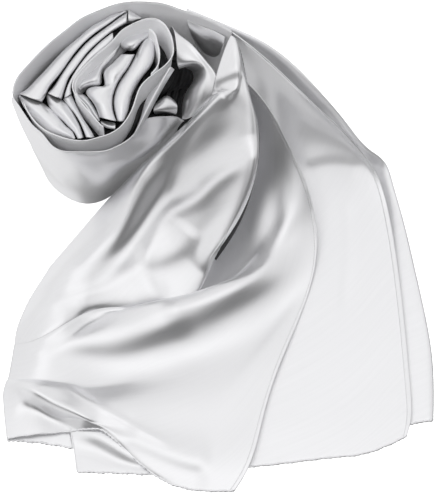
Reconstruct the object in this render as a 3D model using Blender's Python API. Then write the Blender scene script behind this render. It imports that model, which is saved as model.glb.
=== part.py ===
"""Evening stole: a long satin stole, folded lengthwise, rolled up at one end and fanned out at the other.

Metres, +Z up. The stole lies on the plane z = 0, with its fanned end towards -Y. The origin is on that
plane, below the middle of the whole.

Every stretch of the cloth is a thin wall, lofted through its own fold lines. A point on a fold line is given
as it is seen by someone who looks down on the laid stole from the front: how far across and how far down the
view it lies, and how high above the table. The function seen() turns that into a place in metres.
"""

import math

import bmesh
import bpy
import numpy as np
from mathutils import Vector
from mathutils.bvhtree import BVHTree

# The real sizes that drive the whole, in metres.
CLOTH = 0.0015
SEAM_GAP = 0.0003
CLOTH_LEAST = 0.0003
FOLD_SHARE = 0.33
FOLD_TRIES = 12
FOLD_THINNING = 0.85
RAY_START = 0.00002
CORE_TOP = 0.118
ON_CORE = CORE_TOP + SEAM_GAP
UNDERSIDE = 0.026
UNDERSIDE_FROM = 0.060
UNDERSIDE_LEAST = 0.0025
SHOULDER_DROP = 0.003
BACK_SHARES = (0.0, 0.25, 0.45, 0.62, 0.78, 1.0)

# The view that the fold lines are given in: its size in view points, the width of one view point at the
# distance of the aim, the eye's rise over the table and its distance, and the table point that it aims at.
VIEW_ACROSS = 435.0
VIEW_DOWN = 495.0
VIEW_POINT = 0.001
EYE_RISE = math.radians(60.0)
EYE_DISTANCE = 1.90
AIM_X = -0.0013
AIM_Y = 0.034

MM = 0.001
ROLL_MIDDLE = (105.0, 146.0, 0.0)


def seen(across, down, height):
    """The place, in metres, of a point seen across and down the view, at a height in millimetres."""
    aim = np.array([AIM_X, AIM_Y, 0.0])
    forward = np.array([0.0, math.cos(EYE_RISE), -math.sin(EYE_RISE)])
    right = np.array([1.0, 0.0, 0.0])
    up = np.cross(right, forward)
    eye = aim - forward * EYE_DISTANCE
    ray = (
        forward * EYE_DISTANCE
        + right * (across - VIEW_ACROSS / 2) * VIEW_POINT
        + up * (VIEW_DOWN / 2 - down) * VIEW_POINT
    )
    reach = (height * MM - eye[2]) / ray[2]
    return eye + ray * reach


def place(points):
    return np.array([seen(*point) for point in points])


def spline(knots, values, wanted):
    """A natural cubic spline through values at knots, read at the wanted places."""
    count = len(knots)
    if count == 2:
        share = (wanted - knots[0]) / (knots[1] - knots[0])
        return values[0] + share[:, None] * (values[1] - values[0])
    step = np.diff(knots)
    slope = np.diff(values, axis=0) / step[:, None]
    matrix = np.eye(count)
    right = np.zeros_like(values)
    for i in range(1, count - 1):
        matrix[i, i - 1] = step[i - 1]
        matrix[i, i] = 2 * (step[i - 1] + step[i])
        matrix[i, i + 1] = step[i]
        right[i] = 6 * (slope[i] - slope[i - 1])
    bend = np.linalg.solve(matrix, right)
    part = np.clip(np.searchsorted(knots, wanted, side="right") - 1, 0, count - 2)
    h = step[part][:, None]
    a = (knots[part + 1] - wanted)[:, None]
    b = (wanted - knots[part])[:, None]
    return (
        bend[part] * a**3 / (6 * h)
        + bend[part + 1] * b**3 / (6 * h)
        + (values[part] / h - bend[part] * h / 6) * a
        + (values[part + 1] / h - bend[part + 1] * h / 6) * b
    )


def run(points):
    """How far each point lies along a line of points, from 0 to 1."""
    steps = np.linalg.norm(np.diff(points, axis=0), axis=1)
    along = np.concatenate([[0.0], np.cumsum(steps)])
    return along / along[-1]


def even(points, count):
    """A smooth line through the points, read at even distances."""
    knots = run(points)
    dense = spline(knots, points, np.linspace(0, 1, 20 * count))
    along = run(dense)
    wanted = np.linspace(0, 1, count)
    return np.stack([np.interp(wanted, along, dense[:, k]) for k in range(3)], axis=1)


def surface(lines, stations, steps):
    """A grid of points on the smooth surface through the lines, given from side to side."""
    rows = np.array([even(line, stations) for line in lines])
    knots = np.mean([run(rows[:, k]) for k in range(stations)], axis=0)
    wanted = np.linspace(0, 1, steps)
    return np.stack([spline(knots, rows[:, k], wanted) for k in range(stations)], axis=1)


def net_surface(rows, stations, steps):
    """As surface(), for rows whose points stand in columns, which the surface keeps."""
    rows = np.array(rows)
    columns = np.mean([run(row) for row in rows], axis=0)
    wanted = np.linspace(0, 1, stations)
    rows = np.array([spline(columns, row, wanted) for row in rows])
    knots = np.mean([run(rows[:, k]) for k in range(stations)], axis=0)
    return np.stack([spline(knots, rows[:, k], np.linspace(0, 1, steps)) for k in range(stations)], axis=1)


def normals(grid):
    along = np.gradient(grid, axis=1)
    over = np.gradient(grid, axis=0)
    cross = np.cross(along, over)
    return cross / np.maximum(np.linalg.norm(cross, axis=2), 1e-12)[:, :, None]


def cells(grid):
    """The normal of each cell of a grid."""
    return np.cross(grid[1:, 1:] - grid[:-1, :-1], grid[1:, :-1] - grid[:-1, 1:])


def thicknesses(outer, facing):
    """The cloth's thickness at each point: less in a tight fold, so that it does not cross itself."""
    rows, columns = outer.shape[:2]
    spots = [(i, j) for i in range(rows) for j in range(columns)]
    quads = [
        (i * columns + j, i * columns + j + 1, (i + 1) * columns + j + 1, (i + 1) * columns + j)
        for i in range(rows - 1)
        for j in range(columns - 1)
    ]
    face = BVHTree.FromPolygons([Vector(outer[spot]) for spot in spots], quads)
    thick = np.full((rows, columns), CLOTH)
    for spot in spots:
        back = -Vector(facing[spot])
        hit = face.ray_cast(Vector(outer[spot]) + back * RAY_START, back, CLOTH / FOLD_SHARE)
        if hit[3] is not None:
            thick[spot] = max(hit[3] * FOLD_SHARE, CLOTH_LEAST)
    for _ in range(FOLD_TRIES):
        inner = outer - facing * thick[:, :, None]
        crossed = (cells(inner) * cells(outer)).sum(axis=2) <= 0
        for i, j in np.argwhere(crossed):
            thick[i:i + 2, j:j + 2] *= FOLD_THINNING
    return np.maximum(thick, CLOTH_LEAST)[:, :, None]


def material(name, colour, roughness, metallic):
    made = bpy.data.materials.new(name)
    made.use_nodes = True
    shader = made.node_tree.nodes["Principled BSDF"]
    shader.inputs["Base Color"].default_value = (*colour, 1.0)
    shader.inputs["Roughness"].default_value = roughness
    shader.inputs["Metallic"].default_value = metallic
    return made


def wall(name, grid, faces="up", outer_lowest=0.0, inner_lowest=0.0):
    """A cloth wall: the grid is its outer face, and its inner face lies the cloth's thickness behind.

    The outer face looks up, or out from the middle of the roll.
    """
    outer = grid.copy()
    outer[:, :, 2] = np.maximum(outer[:, :, 2], outer_lowest)
    facing = normals(outer)
    away = outer - seen(*ROLL_MIDDLE)
    away[:, :, 2] = 0.0
    outward = facing[:, :, 2] if faces == "up" else (facing * away).sum(axis=2)
    if outward.sum() < 0:
        facing = -facing
    inner = outer - facing * thicknesses(outer, facing)
    inner[:, :, 2] = np.maximum(inner[:, :, 2], inner_lowest)
    rows, columns = grid.shape[:2]
    mesh = bmesh.new()
    top = [[mesh.verts.new(outer[i, j]) for j in range(columns)] for i in range(rows)]
    low = [[mesh.verts.new(inner[i, j]) for j in range(columns)] for i in range(rows)]
    for i in range(rows - 1):
        for j in range(columns - 1):
            mesh.faces.new((top[i][j], top[i][j + 1], top[i + 1][j + 1], top[i + 1][j]))
            mesh.faces.new((low[i][j], low[i + 1][j], low[i + 1][j + 1], low[i][j + 1]))
    for i in range(rows - 1):
        mesh.faces.new((top[i][0], top[i + 1][0], low[i + 1][0], low[i][0]))
        mesh.faces.new((top[i + 1][-1], top[i][-1], low[i][-1], low[i + 1][-1]))
    for j in range(columns - 1):
        mesh.faces.new((top[0][j + 1], top[0][j], low[0][j], low[0][j + 1]))
        mesh.faces.new((top[-1][j], top[-1][j + 1], low[-1][j + 1], low[-1][j]))
    return finish(name, mesh)


def finish(name, mesh):
    bmesh.ops.triangulate(mesh, faces=mesh.faces[:])
    if mesh.calc_volume(signed=True) < 0:
        bmesh.ops.reverse_faces(mesh, faces=mesh.faces[:])
    data = bpy.data.meshes.new(name)
    mesh.to_mesh(data)
    mesh.free()
    data.shade_smooth()
    data.materials.append(material(name, (0.74, 0.74, 0.76), 0.32, 0.45))
    made = bpy.data.objects.new(name, data)
    COLLECTION.objects.link(made)
    return made


# The right side of the hidden layers on the table, between the feet of the near wall and the far wall.
LAYERS_RIGHT_SIDE = ((192.0, 137.0, 0), (202.0, 133.0, 0), (208.0, 126.0, 0))
LAYERS_RIGHT_END = -0.006
# Their profile, and that of the wound core on them: height and inset from the walls, in millimetres.
LAYERS_PROFILE = ((0.0, 3.2), (28.0, 3.2), (56.0, 3.2), (80.0, 4.4), (92.0, 9.0))
CORE_PROFILE = ((92.3, 9.0), (104.0, 3.8), (118.0, 5.0))
# The core reaches this far to the right along the near wall and the far wall, and this far out of the band.
CORE_NEAR_END = -0.092
CORE_FAR_END = -0.048
CORE_OUT_OF_BAND = 0.004
CORE_BAND_POINTS = slice(12, 23)

# The outer turn of the roll, its far side: its upper edge, from the left tip to where it leaves the roll.
WRAP_BACK_RIM = (
    (12.2, 94.3, 146), (13.5, 87.0, 147), (17.0, 78.0, 148), (24.0, 69.0, 148), (38.0, 54.0, 148),
    (53.0, 40.0, 148), (67.0, 29.0, 148), (81.0, 18.5, 148), (96.0, 11.5, 148), (110.0, 6.0, 148),
    (124.0, 2.6, 148), (139.0, 1.6, 148), (150.0, 2.0, 148), (163.0, 3.6, 148), (181.0, 9.6, 148),
    (196.0, 14.4, 148), (215.0, 22.5, 148), (232.0, 31.5, 148),
)
# Its foot on the table, in the same order.
WRAP_BACK_FOOT = (
    (41.0, 163.0, 0), (40.0, 150.0, 0), (44.0, 138.0, 0), (52.0, 126.0, 0), (64.0, 114.0, 0),
    (78.0, 104.0, 0), (92.0, 96.0, 0), (108.0, 90.0, 0), (124.0, 87.0, 0), (140.0, 86.0, 0),
    (156.0, 91.0, 0), (172.0, 97.0, 0), (186.0, 103.0, 0), (200.0, 108.0, 0), (214.0, 110.0, 0),
    (232.0, 112.0, 0),
)

# The outer turn, its near side: its upper edge from the left tip to the right, where the drape covers it.
WRAP_FRONT_RIM = (
    (12.5, 97.0, 146), (15.0, 101.0, 146), (22.0, 111.0, 146), (33.0, 126.0, 144), (43.0, 135.0, 143),
    (51.0, 145.0, 140), (60.0, 150.5, 139), (71.0, 152.0, 139), (89.0, 152.0, 138), (105.0, 151.0, 137),
    (117.0, 146.5, 136), (128.0, 140.0, 134), (138.0, 128.5, 126), (146.0, 119.5, 114),
    (155.0, 117.5, 107), (166.0, 117.0, 99), (177.0, 117.5, 90), (184.0, 121.5, 82),
)
WRAP_FRONT_BULGE = (
    (12.5, 105.0, 128), (17.0, 116.0, 122), (24.0, 128.0, 118), (35.0, 141.0, 116), (47.0, 151.0, 115),
    (60.0, 160.0, 114), (73.0, 165.0, 113), (88.0, 167.0, 111), (103.0, 165.5, 107),
    (118.0, 162.0, 102), (133.0, 156.5, 97), (148.0, 148.5, 90), (162.0, 139.5, 82),
    (172.0, 130.0, 76), (182.0, 122.5, 72),
)
WRAP_FRONT_RECESS = (
    (26.0, 134.0, 88), (31.0, 146.0, 82), (38.0, 157.0, 76), (48.0, 168.0, 72), (59.0, 176.0, 71),
    (72.0, 180.0, 72), (86.0, 182.0, 73), (100.0, 180.0, 74), (115.0, 173.5, 74),
    (130.0, 165.0, 72), (145.0, 156.0, 68), (158.0, 146.0, 64), (168.0, 137.0, 60), (178.0, 128.0, 58),
)
WRAP_FRONT_LOW = (
    (33.0, 151.0, 50), (40.0, 163.0, 42), (49.0, 174.0, 36), (59.0, 184.0, 31), (71.0, 192.0, 28),
    (83.0, 195.0, 27), (97.0, 193.0, 28), (112.0, 185.0, 32), (128.0, 173.0, 34),
    (143.0, 162.0, 34), (157.0, 151.0, 32), (168.0, 142.0, 30), (178.0, 133.0, 28),
)
WRAP_FRONT_FOOT = (
    (41.5, 166.0, 0), (46.0, 177.0, 0), (54.0, 188.0, 0), (64.0, 196.0, 0), (76.0, 202.0, 0),
    (88.0, 204.0, 0), (102.0, 201.0, 0), (116.0, 193.0, 0), (131.0, 182.0, 0),
    (146.0, 171.0, 0), (158.0, 162.0, 0), (168.0, 154.0, 0), (178.0, 146.0, 0),
)

# The back strip: the stole's lowest folded layer. Columns: hidden under the middle panel, valley beside
# its hem, crown, outer edge.
BACK_PANEL = (
    ((184.6, 16.0, 133), (185.6, 12.5, 139), (186.4, 10.0, 142.5), (187.0, 8.0, 143)),
    ((206.2, 24.5, 134), (207.4, 21.5, 139), (208.3, 19.1, 142), (209.0, 17.2, 143)),
    ((231.8, 36.6, 130), (233.4, 33.3, 136), (234.8, 30.6, 141), (236.0, 28.4, 142)),
    ((260.0, 55.0, 118), (262.8, 49.7, 126), (264.7, 45.7, 132), (266.0, 43.2, 133)),
    ((282.0, 76.5, 98), (287.0, 70.5, 108), (290.8, 66.0, 116), (293.0, 63.6, 117)),
    ((308.0, 106.0, 74), (314.6, 100.0, 84), (319.4, 95.8, 92), (322.0, 93.5, 94)),
    ((333.0, 135.0, 43), (340.0, 129.0, 52), (344.4, 125.2, 64), (347.0, 123.2, 66)),
    ((358.0, 163.0, 16), (365.0, 156.2, 26), (369.0, 152.4, 36.5), (371.2, 150.6, 38)),
    ((364.0, 177.0, 8), (373.5, 168.0, 12), (381.5, 163.0, 19), (384.5, 161.5, 20)),
    ((366.0, 194.0, 4.5), (380.5, 183.0, 6), (388.0, 179.5, 11.5), (391.0, 178.0, 12)),
    ((362.0, 236.0, 3.6), (391.0, 216.0, 4), (397.0, 213.0, 7), (402.0, 218.0, 7)),
    ((370.0, 280.0, 3.6), (399.0, 265.0, 4), (407.0, 262.0, 6), (414.0, 269.0, 6)),
    ((374.0, 330.0, 3.6), (404.0, 320.0, 4), (417.0, 316.0, 6), (426.0, 324.0, 6)),
    ((378.0, 380.0, 3.6), (409.0, 372.0, 4), (422.0, 370.0, 5.5), (432.0, 370.0, 5.5)),
    ((382.0, 426.0, 3.6), (412.0, 424.0, 4), (422.0, 421.5, 5), (432.2, 420.5, 5)),
)

# The middle panel, which carries on from the far side of the outer turn. Columns: hidden foot, lower
# slope, upper slope, second edge inside the hem, hem edge.
MIDDLE_PANEL = (
    ((236.2, 117.0, 0), (235.6, 90.0, 52), (234.2, 60.0, 100), (233.1, 38.5, 138), (232.3, 32.2, 147)),
    ((252.0, 121.0, 2), (252.0, 96.0, 50), (253.0, 70.0, 94), (252.0, 52.5, 130), (252.2, 47.4, 139)),
    ((262.0, 138.0, 3), (264.0, 114.0, 44), (271.0, 88.0, 84), (275.0, 73.0, 112), (277.0, 69.0, 121)),
    ((268.0, 164.0, 4), (275.0, 138.0, 36), (289.0, 112.0, 66), (304.0, 100.0, 88), (308.6, 99.5, 95)),
    ((276.0, 196.0, 6), (287.0, 170.0, 24), (306.0, 142.0, 44), (328.0, 124.0, 62), (334.5, 123.6, 66)),
    ((284.0, 226.0, 5), (298.0, 206.0, 12), (322.0, 176.0, 24), (352.0, 149.5, 36), (359.0, 149.5, 38)),
    ((288.0, 252.0, 5), (302.0, 240.0, 7), (336.0, 212.0, 12), (372.0, 177.0, 18), (378.0, 178.0, 19)),
    ((284.0, 286.0, 5), (300.0, 276.0, 6), (344.0, 254.0, 9), (382.0, 224.0, 10), (390.8, 223.0, 10)),
    ((272.0, 322.0, 5), (294.0, 316.0, 6), (344.0, 302.0, 7), (389.0, 284.0, 7), (399.8, 282.0, 7)),
    ((260.0, 362.0, 5), (286.0, 360.0, 6), (344.0, 350.0, 6.5), (394.0, 336.0, 6.5), (405.6, 334.0, 6.5)),
    ((246.0, 402.0, 5), (276.0, 402.0, 6), (344.0, 396.0, 6), (398.0, 384.0, 6), (410.0, 382.0, 6)),
    ((236.0, 436.0, 5), (268.0, 436.0, 6), (344.0, 430.0, 6), (398.0, 420.0, 6), (411.4, 415.0, 6)),
    ((228.0, 466.0, 5), (256.0, 466.0, 5), (335.0, 457.0, 5), (388.0, 445.0, 5.5), (407.0, 436.0, 5.5)),
)

# The front cloth above its crease: the drape that falls from the roll. Rows are its fold lines. Columns:
# left edge, crown of the left side, four points along the fold, right edge.
DRAPE = (
    ((50.0, 266.0, 3), (76.0, 236.0, 4), (98.0, 210.5, 12), (128.0, 178.5, 42), (172.0, 136.5, 80),
     (210.0, 97.0, 117), (217.0, 72.0, 137), (231.5, 35.5, 149)),
    ((42.0, 279.0, 3), (64.0, 262.0, 20), (108.0, 222.0, 32), (140.0, 171.5, 68), (181.0, 134.0, 94),
     (224.0, 92.0, 131), (237.0, 80.0, 141), (238.5, 46.0, 147)),
    ((30.0, 298.0, 3), (56.0, 284.0, 22), (104.0, 262.0, 26), (134.0, 226.0, 34), (172.0, 170.0, 58),
     (212.0, 126.0, 92), (238.0, 102.0, 118), (250.0, 95.0, 124)),
    ((21.0, 317.0, 3), (46.0, 304.0, 22), (100.0, 288.0, 25), (143.0, 258.0, 27), (172.0, 213.0, 42),
     (214.0, 184.0, 66), (246.0, 152.0, 92), (259.0, 137.0, 98)),
    ((17.0, 328.0, 3), (41.0, 318.0, 20), (96.0, 297.0, 22), (146.0, 279.0, 20), (180.0, 244.0, 28),
     (214.0, 214.0, 46), (242.0, 186.0, 66), (255.5, 176.0, 70)),
    ((15.0, 338.0, 3), (39.0, 331.0, 19), (95.0, 305.0, 17), (148.0, 294.0, 13), (188.0, 272.0, 15),
     (214.0, 244.0, 27), (230.0, 226.0, 40), (238.5, 218.0, 46)),
    ((14.4, 344.2, 3.4), (38.2, 338.6, 18), (94.0, 310.0, 15), (146.0, 308.6, 7.6), (180.0, 302.0, 6.8),
     (200.0, 290.0, 7.5), (206.5, 272.0, 13), (212.5, 256.0, 21)),
)

# The front cloth below the drape. Rows are its fold lines, from the tuck under the drape's right edge to the
# bottom hem. Columns: left edge, crown of the left side, six points across, right hem.
FRONT_PANEL = (
    ((14.2, 345.2, 3.4), (38.0, 339.6, 18), (94.0, 311.0, 15), (146.0, 309.8, 7), (184.0, 303.0, 6),
     (208.0, 284.0, 6), (226.0, 244.0, 22), (243.0, 170.0, 62), (243.5, 76.0, 129)),
    ((13.6, 348.0, 3.4), (37.0, 343.0, 18), (95.0, 313.5, 14), (146.0, 311.0, 8), (186.0, 304.0, 8),
     (216.0, 288.0, 8), (238.0, 250.0, 20), (256.0, 182.0, 58), (266.0, 104.0, 108)),
    ((13.0, 351.0, 3.4), (36.0, 347.0, 18), (96.0, 317.0, 14), (147.0, 307.0, 15), (186.0, 299.0, 16),
     (222.0, 288.0, 15), (252.0, 258.0, 19), (276.0, 206.0, 42), (288.0, 144.0, 78)),
    ((12.5, 354.0, 3.4), (35.5, 352.0, 18), (97.0, 321.0, 15), (148.0, 302.5, 22), (187.0, 294.0, 23),
     (222.0, 282.0, 22), (250.0, 268.0, 21), (282.0, 234.0, 24), (304.0, 178.0, 48)),
    ((12.0, 358.0, 3.4), (35.0, 358.0, 17), (98.0, 330.0, 17), (150.0, 313.0, 24), (191.0, 304.0, 25),
     (226.0, 292.0, 24), (256.0, 276.0, 22), (290.0, 246.0, 21), (314.0, 212.0, 27)),
    ((10.8, 364.0, 3.4), (34.0, 366.0, 16), (102.0, 349.0, 13), (153.0, 336.0, 16), (196.0, 323.0, 17),
     (232.0, 309.0, 17), (264.0, 291.0, 16), (297.0, 267.0, 14), (317.0, 244.0, 15)),
    ((9.2, 373.0, 3.4), (32.0, 374.0, 15), (106.0, 370.0, 10), (156.0, 358.0, 9.5), (200.0, 344.0, 9.5),
     (237.0, 331.0, 9.5), (269.0, 312.0, 9.5), (298.0, 290.0, 9.5), (314.0, 272.0, 10)),
    ((6.2, 381.0, 3.4), (28.0, 380.0, 15), (76.0, 390.0, 12), (112.0, 398.0, 9.5), (150.0, 402.0, 9),
     (188.0, 400.0, 9), (224.0, 388.0, 9), (256.0, 366.0, 9), (285.0, 352.0, 9)),
    ((4.2, 387.0, 3.4), (20.0, 387.0, 15), (50.0, 400.0, 16), (80.0, 414.5, 15), (110.0, 426.0, 11),
     (144.0, 438.0, 9), (184.0, 442.0, 9), (228.0, 432.0, 9), (264.0, 414.0, 9)),
    ((3.0, 398.0, 3.4), (21.0, 400.0, 9), (43.0, 410.0, 8), (67.0, 418.0, 8), (96.0, 423.5, 12),
     (122.0, 439.0, 10.5), (156.0, 462.0, 9), (206.0, 466.0, 9), (253.0, 456.0, 9)),
    ((6.5, 438.6, 3.4), (28.0, 435.2, 5), (52.0, 433.0, 5), (73.0, 431.0, 6), (99.0, 429.5, 9.5),
     (117.0, 442.0, 8), (150.0, 471.5, 5), (190.0, 489.0, 5), (234.5, 491.0, 5)),
)

# The layer under the front cloth at its left corner. Columns: left, two points across, right.
UNDER_CORNER = (
    ((9.0, 398.0, 1.5), (28.0, 402.0, 1.5), (50.0, 406.0, 1.5), (67.0, 412.0, 1.5)),
    ((6.4, 420.0, 1.5), (28.0, 424.0, 1.5), (50.0, 427.0, 1.5), (70.2, 432.0, 1.5)),
    ((6.6, 440.2, 1.5), (28.0, 441.6, 1.5), (50.0, 444.2, 1.5), (73.0, 448.2, 1.5)),
)

# The small flap that shows below the front cloth's left corner.
FLAP = (
    ((69.5, 422.0, 1.6), (92.0, 424.0, 1.8), (120.0, 438.0, 1.8), (146.0, 460.0, 1.6)),
    ((72.0, 438.0, 1.6), (92.0, 440.0, 2.6), (116.0, 452.0, 2.6), (147.0, 467.0, 1.6)),
    ((75.0, 456.0, 1.6), (94.0, 458.0, 2.0), (118.0, 463.0, 2.0), (149.0, 471.0, 1.6)),
    ((77.0, 472.0, 1.6), (100.0, 472.4, 1.6), (123.0, 473.2, 1.6), (152.0, 474.5, 1.6)),
)

# The hemmed edge of the wound band: along the near side, round the core and down into it.
BAND_RIM = (
    (24.0, 104.0, 149), (28.0, 112.0, 150), (34.5, 121.0, 150), (43.0, 128.8, 150), (52.0, 133.8, 150),
    (64.0, 138.0, 150), (75.0, 140.5, 150), (87.0, 140.5, 150), (97.0, 138.0, 150), (107.0, 135.0, 150),
    (116.0, 130.5, 150), (124.0, 123.0, 150), (131.0, 112.0, 150), (135.5, 100.0, 150),
    (138.5, 91.0, 150), (143.5, 83.0, 150), (150.0, 77.0, 150), (158.0, 71.0, 150), (167.0, 63.6, 150),
    (172.5, 55.0, 150), (173.0, 44.0, 150), (169.4, 32.0, 150), (163.0, 23.0, 150),
    (155.6, 19.0, 150), (144.0, 19.6, 150), (133.0, 24.0, 150), (121.0, 31.4, 150),
    (113.6, 40.0, 150), (105.0, 48.0, 150), (94.0, 57.0, 150), (83.0, 68.0, 150), (75.5, 77.0, 150),
    (72.5, 86.0, 150), (75.0, 94.0, 150), (81.0, 102.5, 149), (91.0, 114.0, 148), (99.0, 123.5, 147),
)
BAND_CENTRE = (108.0, 92.0, 150)
# How much narrower the band's foot is than its rim.
BAND_LEAN = 0.94

# The narrow turned edge that climbs from the near side to the right of the core: the dark face beside the
# band, its bright crest, its right edge.
TURNED_EDGE = (
    ((140.0, 122.0, 124), (144.0, 105.0, 127), (150.0, 93.0, 131), (158.0, 84.0, 134), (165.0, 75.5, 139)),
    ((133.0, 137.0, 137), (139.0, 127.0, 139), (146.0, 113.0, 141), (154.0, 97.5, 143), (163.0, 81.0, 146),
     (171.0, 67.0, 148)),
    ((134.8, 138.2, 127.5), (149.5, 114.0, 133), (155.0, 103.0, 135), (161.0, 92.0, 137),
     (168.0, 80.0, 140), (174.5, 69.5, 143)),
)

# How far each pleat's feet stand apart, as a share of its width.
PLEAT_ROOT = 0.7

# The pleats that stand in the roll. Each is a ridge: its outer line, its crest and its inner line.
PLEATS = {
    "pleat_upper_outer": (
        ((24.0, 94.0, 132), (34.0, 85.0, 134), (50.0, 67.5, 134), (67.0, 49.0, 134), (82.0, 37.0, 134),
         (97.0, 26.0, 134), (109.0, 18.0, 134), (119.0, 13.0, 136)),
        ((22.5, 95.0, 142), (40.0, 87.0, 143), (56.0, 71.0, 143), (72.0, 53.0, 143), (87.0, 39.0, 143),
         (103.0, 26.5, 143), (115.0, 18.0, 144), (124.5, 11.8, 145.5)),
        ((44.0, 95.0, 128), (56.0, 79.5, 132), (70.0, 60.0, 133), (84.0, 43.5, 133), (100.0, 30.0, 134),
         (114.0, 22.0, 135), (124.0, 17.5, 138)),
    ),
    "pleat_upper_middle": (
        ((51.0, 91.5, 130), (60.0, 79.5, 132), (74.0, 59.0, 133), (88.0, 43.0, 133), (104.0, 30.0, 134),
         (116.0, 24.5, 135), (127.5, 18.5, 138)),
        ((50.0, 93.0, 142), (63.0, 82.0, 142), (77.0, 63.0, 142), (91.0, 47.0, 142), (106.0, 34.5, 143),
         (119.5, 26.8, 145), (131.0, 20.0, 146)),
        ((63.0, 96.0, 126), (67.0, 86.0, 130), (76.0, 69.0, 132), (88.0, 54.5, 133), (101.0, 42.5, 134),
         (113.0, 33.5, 136), (128.0, 25.0, 139)),
    ),
    "pleat_lower_outer": (
        ((22.0, 99.0, 132), (31.0, 112.0, 132), (41.0, 123.0, 132), (52.0, 131.0, 132), (68.0, 136.5, 132)),
        ((22.0, 96.5, 141), (35.0, 107.0, 142), (47.0, 118.0, 143), (58.0, 127.0, 143), (70.0, 135.0, 143)),
        ((36.0, 101.5, 128), (47.0, 109.5, 129), (57.0, 119.0, 130), (68.0, 127.5, 130), (74.0, 136.0, 130)),
    ),
    "pleat_lower_middle": (
        ((47.5, 104.0, 128), (54.0, 113.5, 128), (62.0, 121.0, 129), (70.5, 129.0, 129), (76.0, 136.0, 130)),
        ((48.0, 95.0, 140), (56.0, 102.5, 141), (65.0, 113.0, 141), (73.0, 124.0, 141), (81.0, 135.0, 141)),
        ((57.0, 99.5, 129), (64.5, 107.5, 130), (73.5, 121.0, 130), (81.5, 135.0, 131)),
    ),
    "core_fold_front": (
        ((137.0, 50.0, 141), (132.0, 60.0, 141), (125.5, 72.0, 141), (118.5, 87.0, 140), (115.5, 102.0, 139),
         (118.0, 118.0, 138)),
        ((150.0, 38.0, 148), (144.0, 55.0, 148), (136.0, 70.0, 148), (126.5, 86.0, 147), (121.5, 102.0, 146),
         (122.5, 119.0, 145)),
        ((154.0, 48.0, 141), (151.5, 62.0, 141), (144.0, 75.0, 141), (134.0, 88.5, 141), (129.0, 102.0, 140),
         (126.5, 114.0, 139)),
    ),
    "core_fold_side": (
        ((118.0, 61.0, 141), (108.0, 75.0, 140), (105.0, 86.0, 140), (92.5, 93.0, 139), (95.0, 102.0, 139),
         (102.0, 115.0, 138)),
        ((125.0, 57.0, 147), (115.0, 72.0, 147), (109.5, 87.0, 146), (103.0, 98.0, 145), (107.5, 113.0, 143)),
        ((131.0, 57.0, 141), (122.5, 71.0, 140), (115.0, 85.5, 140), (111.5, 100.0, 139),
         (113.5, 114.0, 138)),
    ),
    "core_fold_back": (
        ((148.0, 32.0, 141), (140.0, 33.5, 141), (132.0, 36.5, 141), (126.0, 40.0, 141)),
        ((146.0, 37.0, 147), (139.0, 40.0, 147), (132.0, 42.0, 147), (126.0, 43.5, 147)),
        ((139.0, 44.0, 141), (135.5, 46.5, 141), (130.0, 47.5, 141), (125.5, 46.5, 141)),
    ),
    "core_fold_left": (
        ((116.0, 46.5, 142), (106.0, 57.0, 142), (95.0, 68.0, 142), (85.0, 80.0, 142)),
        ((118.5, 47.5, 147), (108.5, 59.0, 147), (98.0, 70.5, 147), (88.0, 82.5, 147)),
        ((119.0, 53.0, 141), (111.0, 63.5, 141), (101.5, 74.0, 141), (92.0, 85.0, 141)),
    ),
}

# The single layers that stand between the pleats and the band: their upper edges.
STANDING_LAYERS = {
    "pleat_upper_inner": (
        (70.0, 98.0, 141), (71.5, 83.0, 143), (81.0, 67.5, 144), (91.5, 56.0, 144), (103.0, 45.5, 145),
        (112.0, 37.5, 146),
    ),
    "pleat_lower_inner": (
        (68.0, 102.0, 140), (75.0, 113.0, 142), (83.0, 124.0, 143), (90.0, 133.0, 144),
    ),
}

# The wide fold to the right of the core: behind its outer edge, its outer edge, its face, its lip, and the
# face that turns under into the pocket.
FOLD_A = (
    ((170.0, 33.0, 128), (182.0, 42.0, 126), (192.0, 50.0, 122), (201.0, 60.0, 118), (209.0, 73.0, 112),
     (212.0, 90.0, 104)),
    ((173.5, 29.0, 144), (182.0, 37.5, 145), (191.0, 44.5, 143), (200.0, 54.0, 140), (209.5, 65.5, 136),
     (216.6, 77.3, 132.4), (215.0, 93.3, 120.4)),
    ((176.5, 46.0, 147), (186.0, 50.0, 143), (197.0, 57.5, 139), (205.0, 67.0, 135), (209.0, 79.0, 129),
     (206.0, 95.0, 114)),
    ((177.0, 61.0, 138), (185.0, 62.5, 136), (196.0, 63.0, 134), (203.0, 69.0, 131), (205.0, 80.0, 125),
     (199.0, 97.0, 108)),
    ((180.0, 74.0, 122), (188.0, 72.0, 120), (196.0, 74.0, 116), (198.0, 82.0, 112), (192.0, 94.0, 104),
     (188.0, 107.0, 92.8)),
)

# The sag of cloth between the far wall and the peak of the drape.
FOLD_C = (
    ((187.0, 21.5, 137), (197.0, 26.5, 136), (206.0, 31.0, 136), (215.0, 36.0, 136), (224.0, 40.0, 137)),
    ((191.0, 31.0, 126), (200.0, 38.0, 123), (208.0, 43.0, 121), (215.5, 45.0, 122), (223.0, 46.0, 129)),
    ((196.0, 45.0, 106), (204.0, 53.0, 102), (210.0, 56.0, 100), (214.0, 57.0, 103), (219.0, 55.0, 112)),
)

# The round fold low in the pocket: behind, top, front, foot.
POCKET_FOLD = (
    ((159.0, 103.0, 97), (168.0, 98.0, 97), (175.0, 101.0, 97)),
    ((155.0, 104.5, 106), (167.0, 97.5, 108), (177.0, 105.0, 103)),
    ((153.5, 112.0, 104), (165.0, 110.0, 104), (177.0, 112.0, 98)),
    ((156.0, 114.5, 96), (165.0, 113.5, 94), (175.0, 115.0, 92.5)),
)


def at_height(grid, height, right_end):
    """The points where a wall passes a height, from its left end up to the right end."""
    points = []
    for column in np.swapaxes(grid, 0, 1):
        if column[-1, 0] > right_end:
            break
        points.append([np.interp(height, column[::-1, 2], column[::-1, k]) for k in range(3)])
    return np.array(points)


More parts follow.
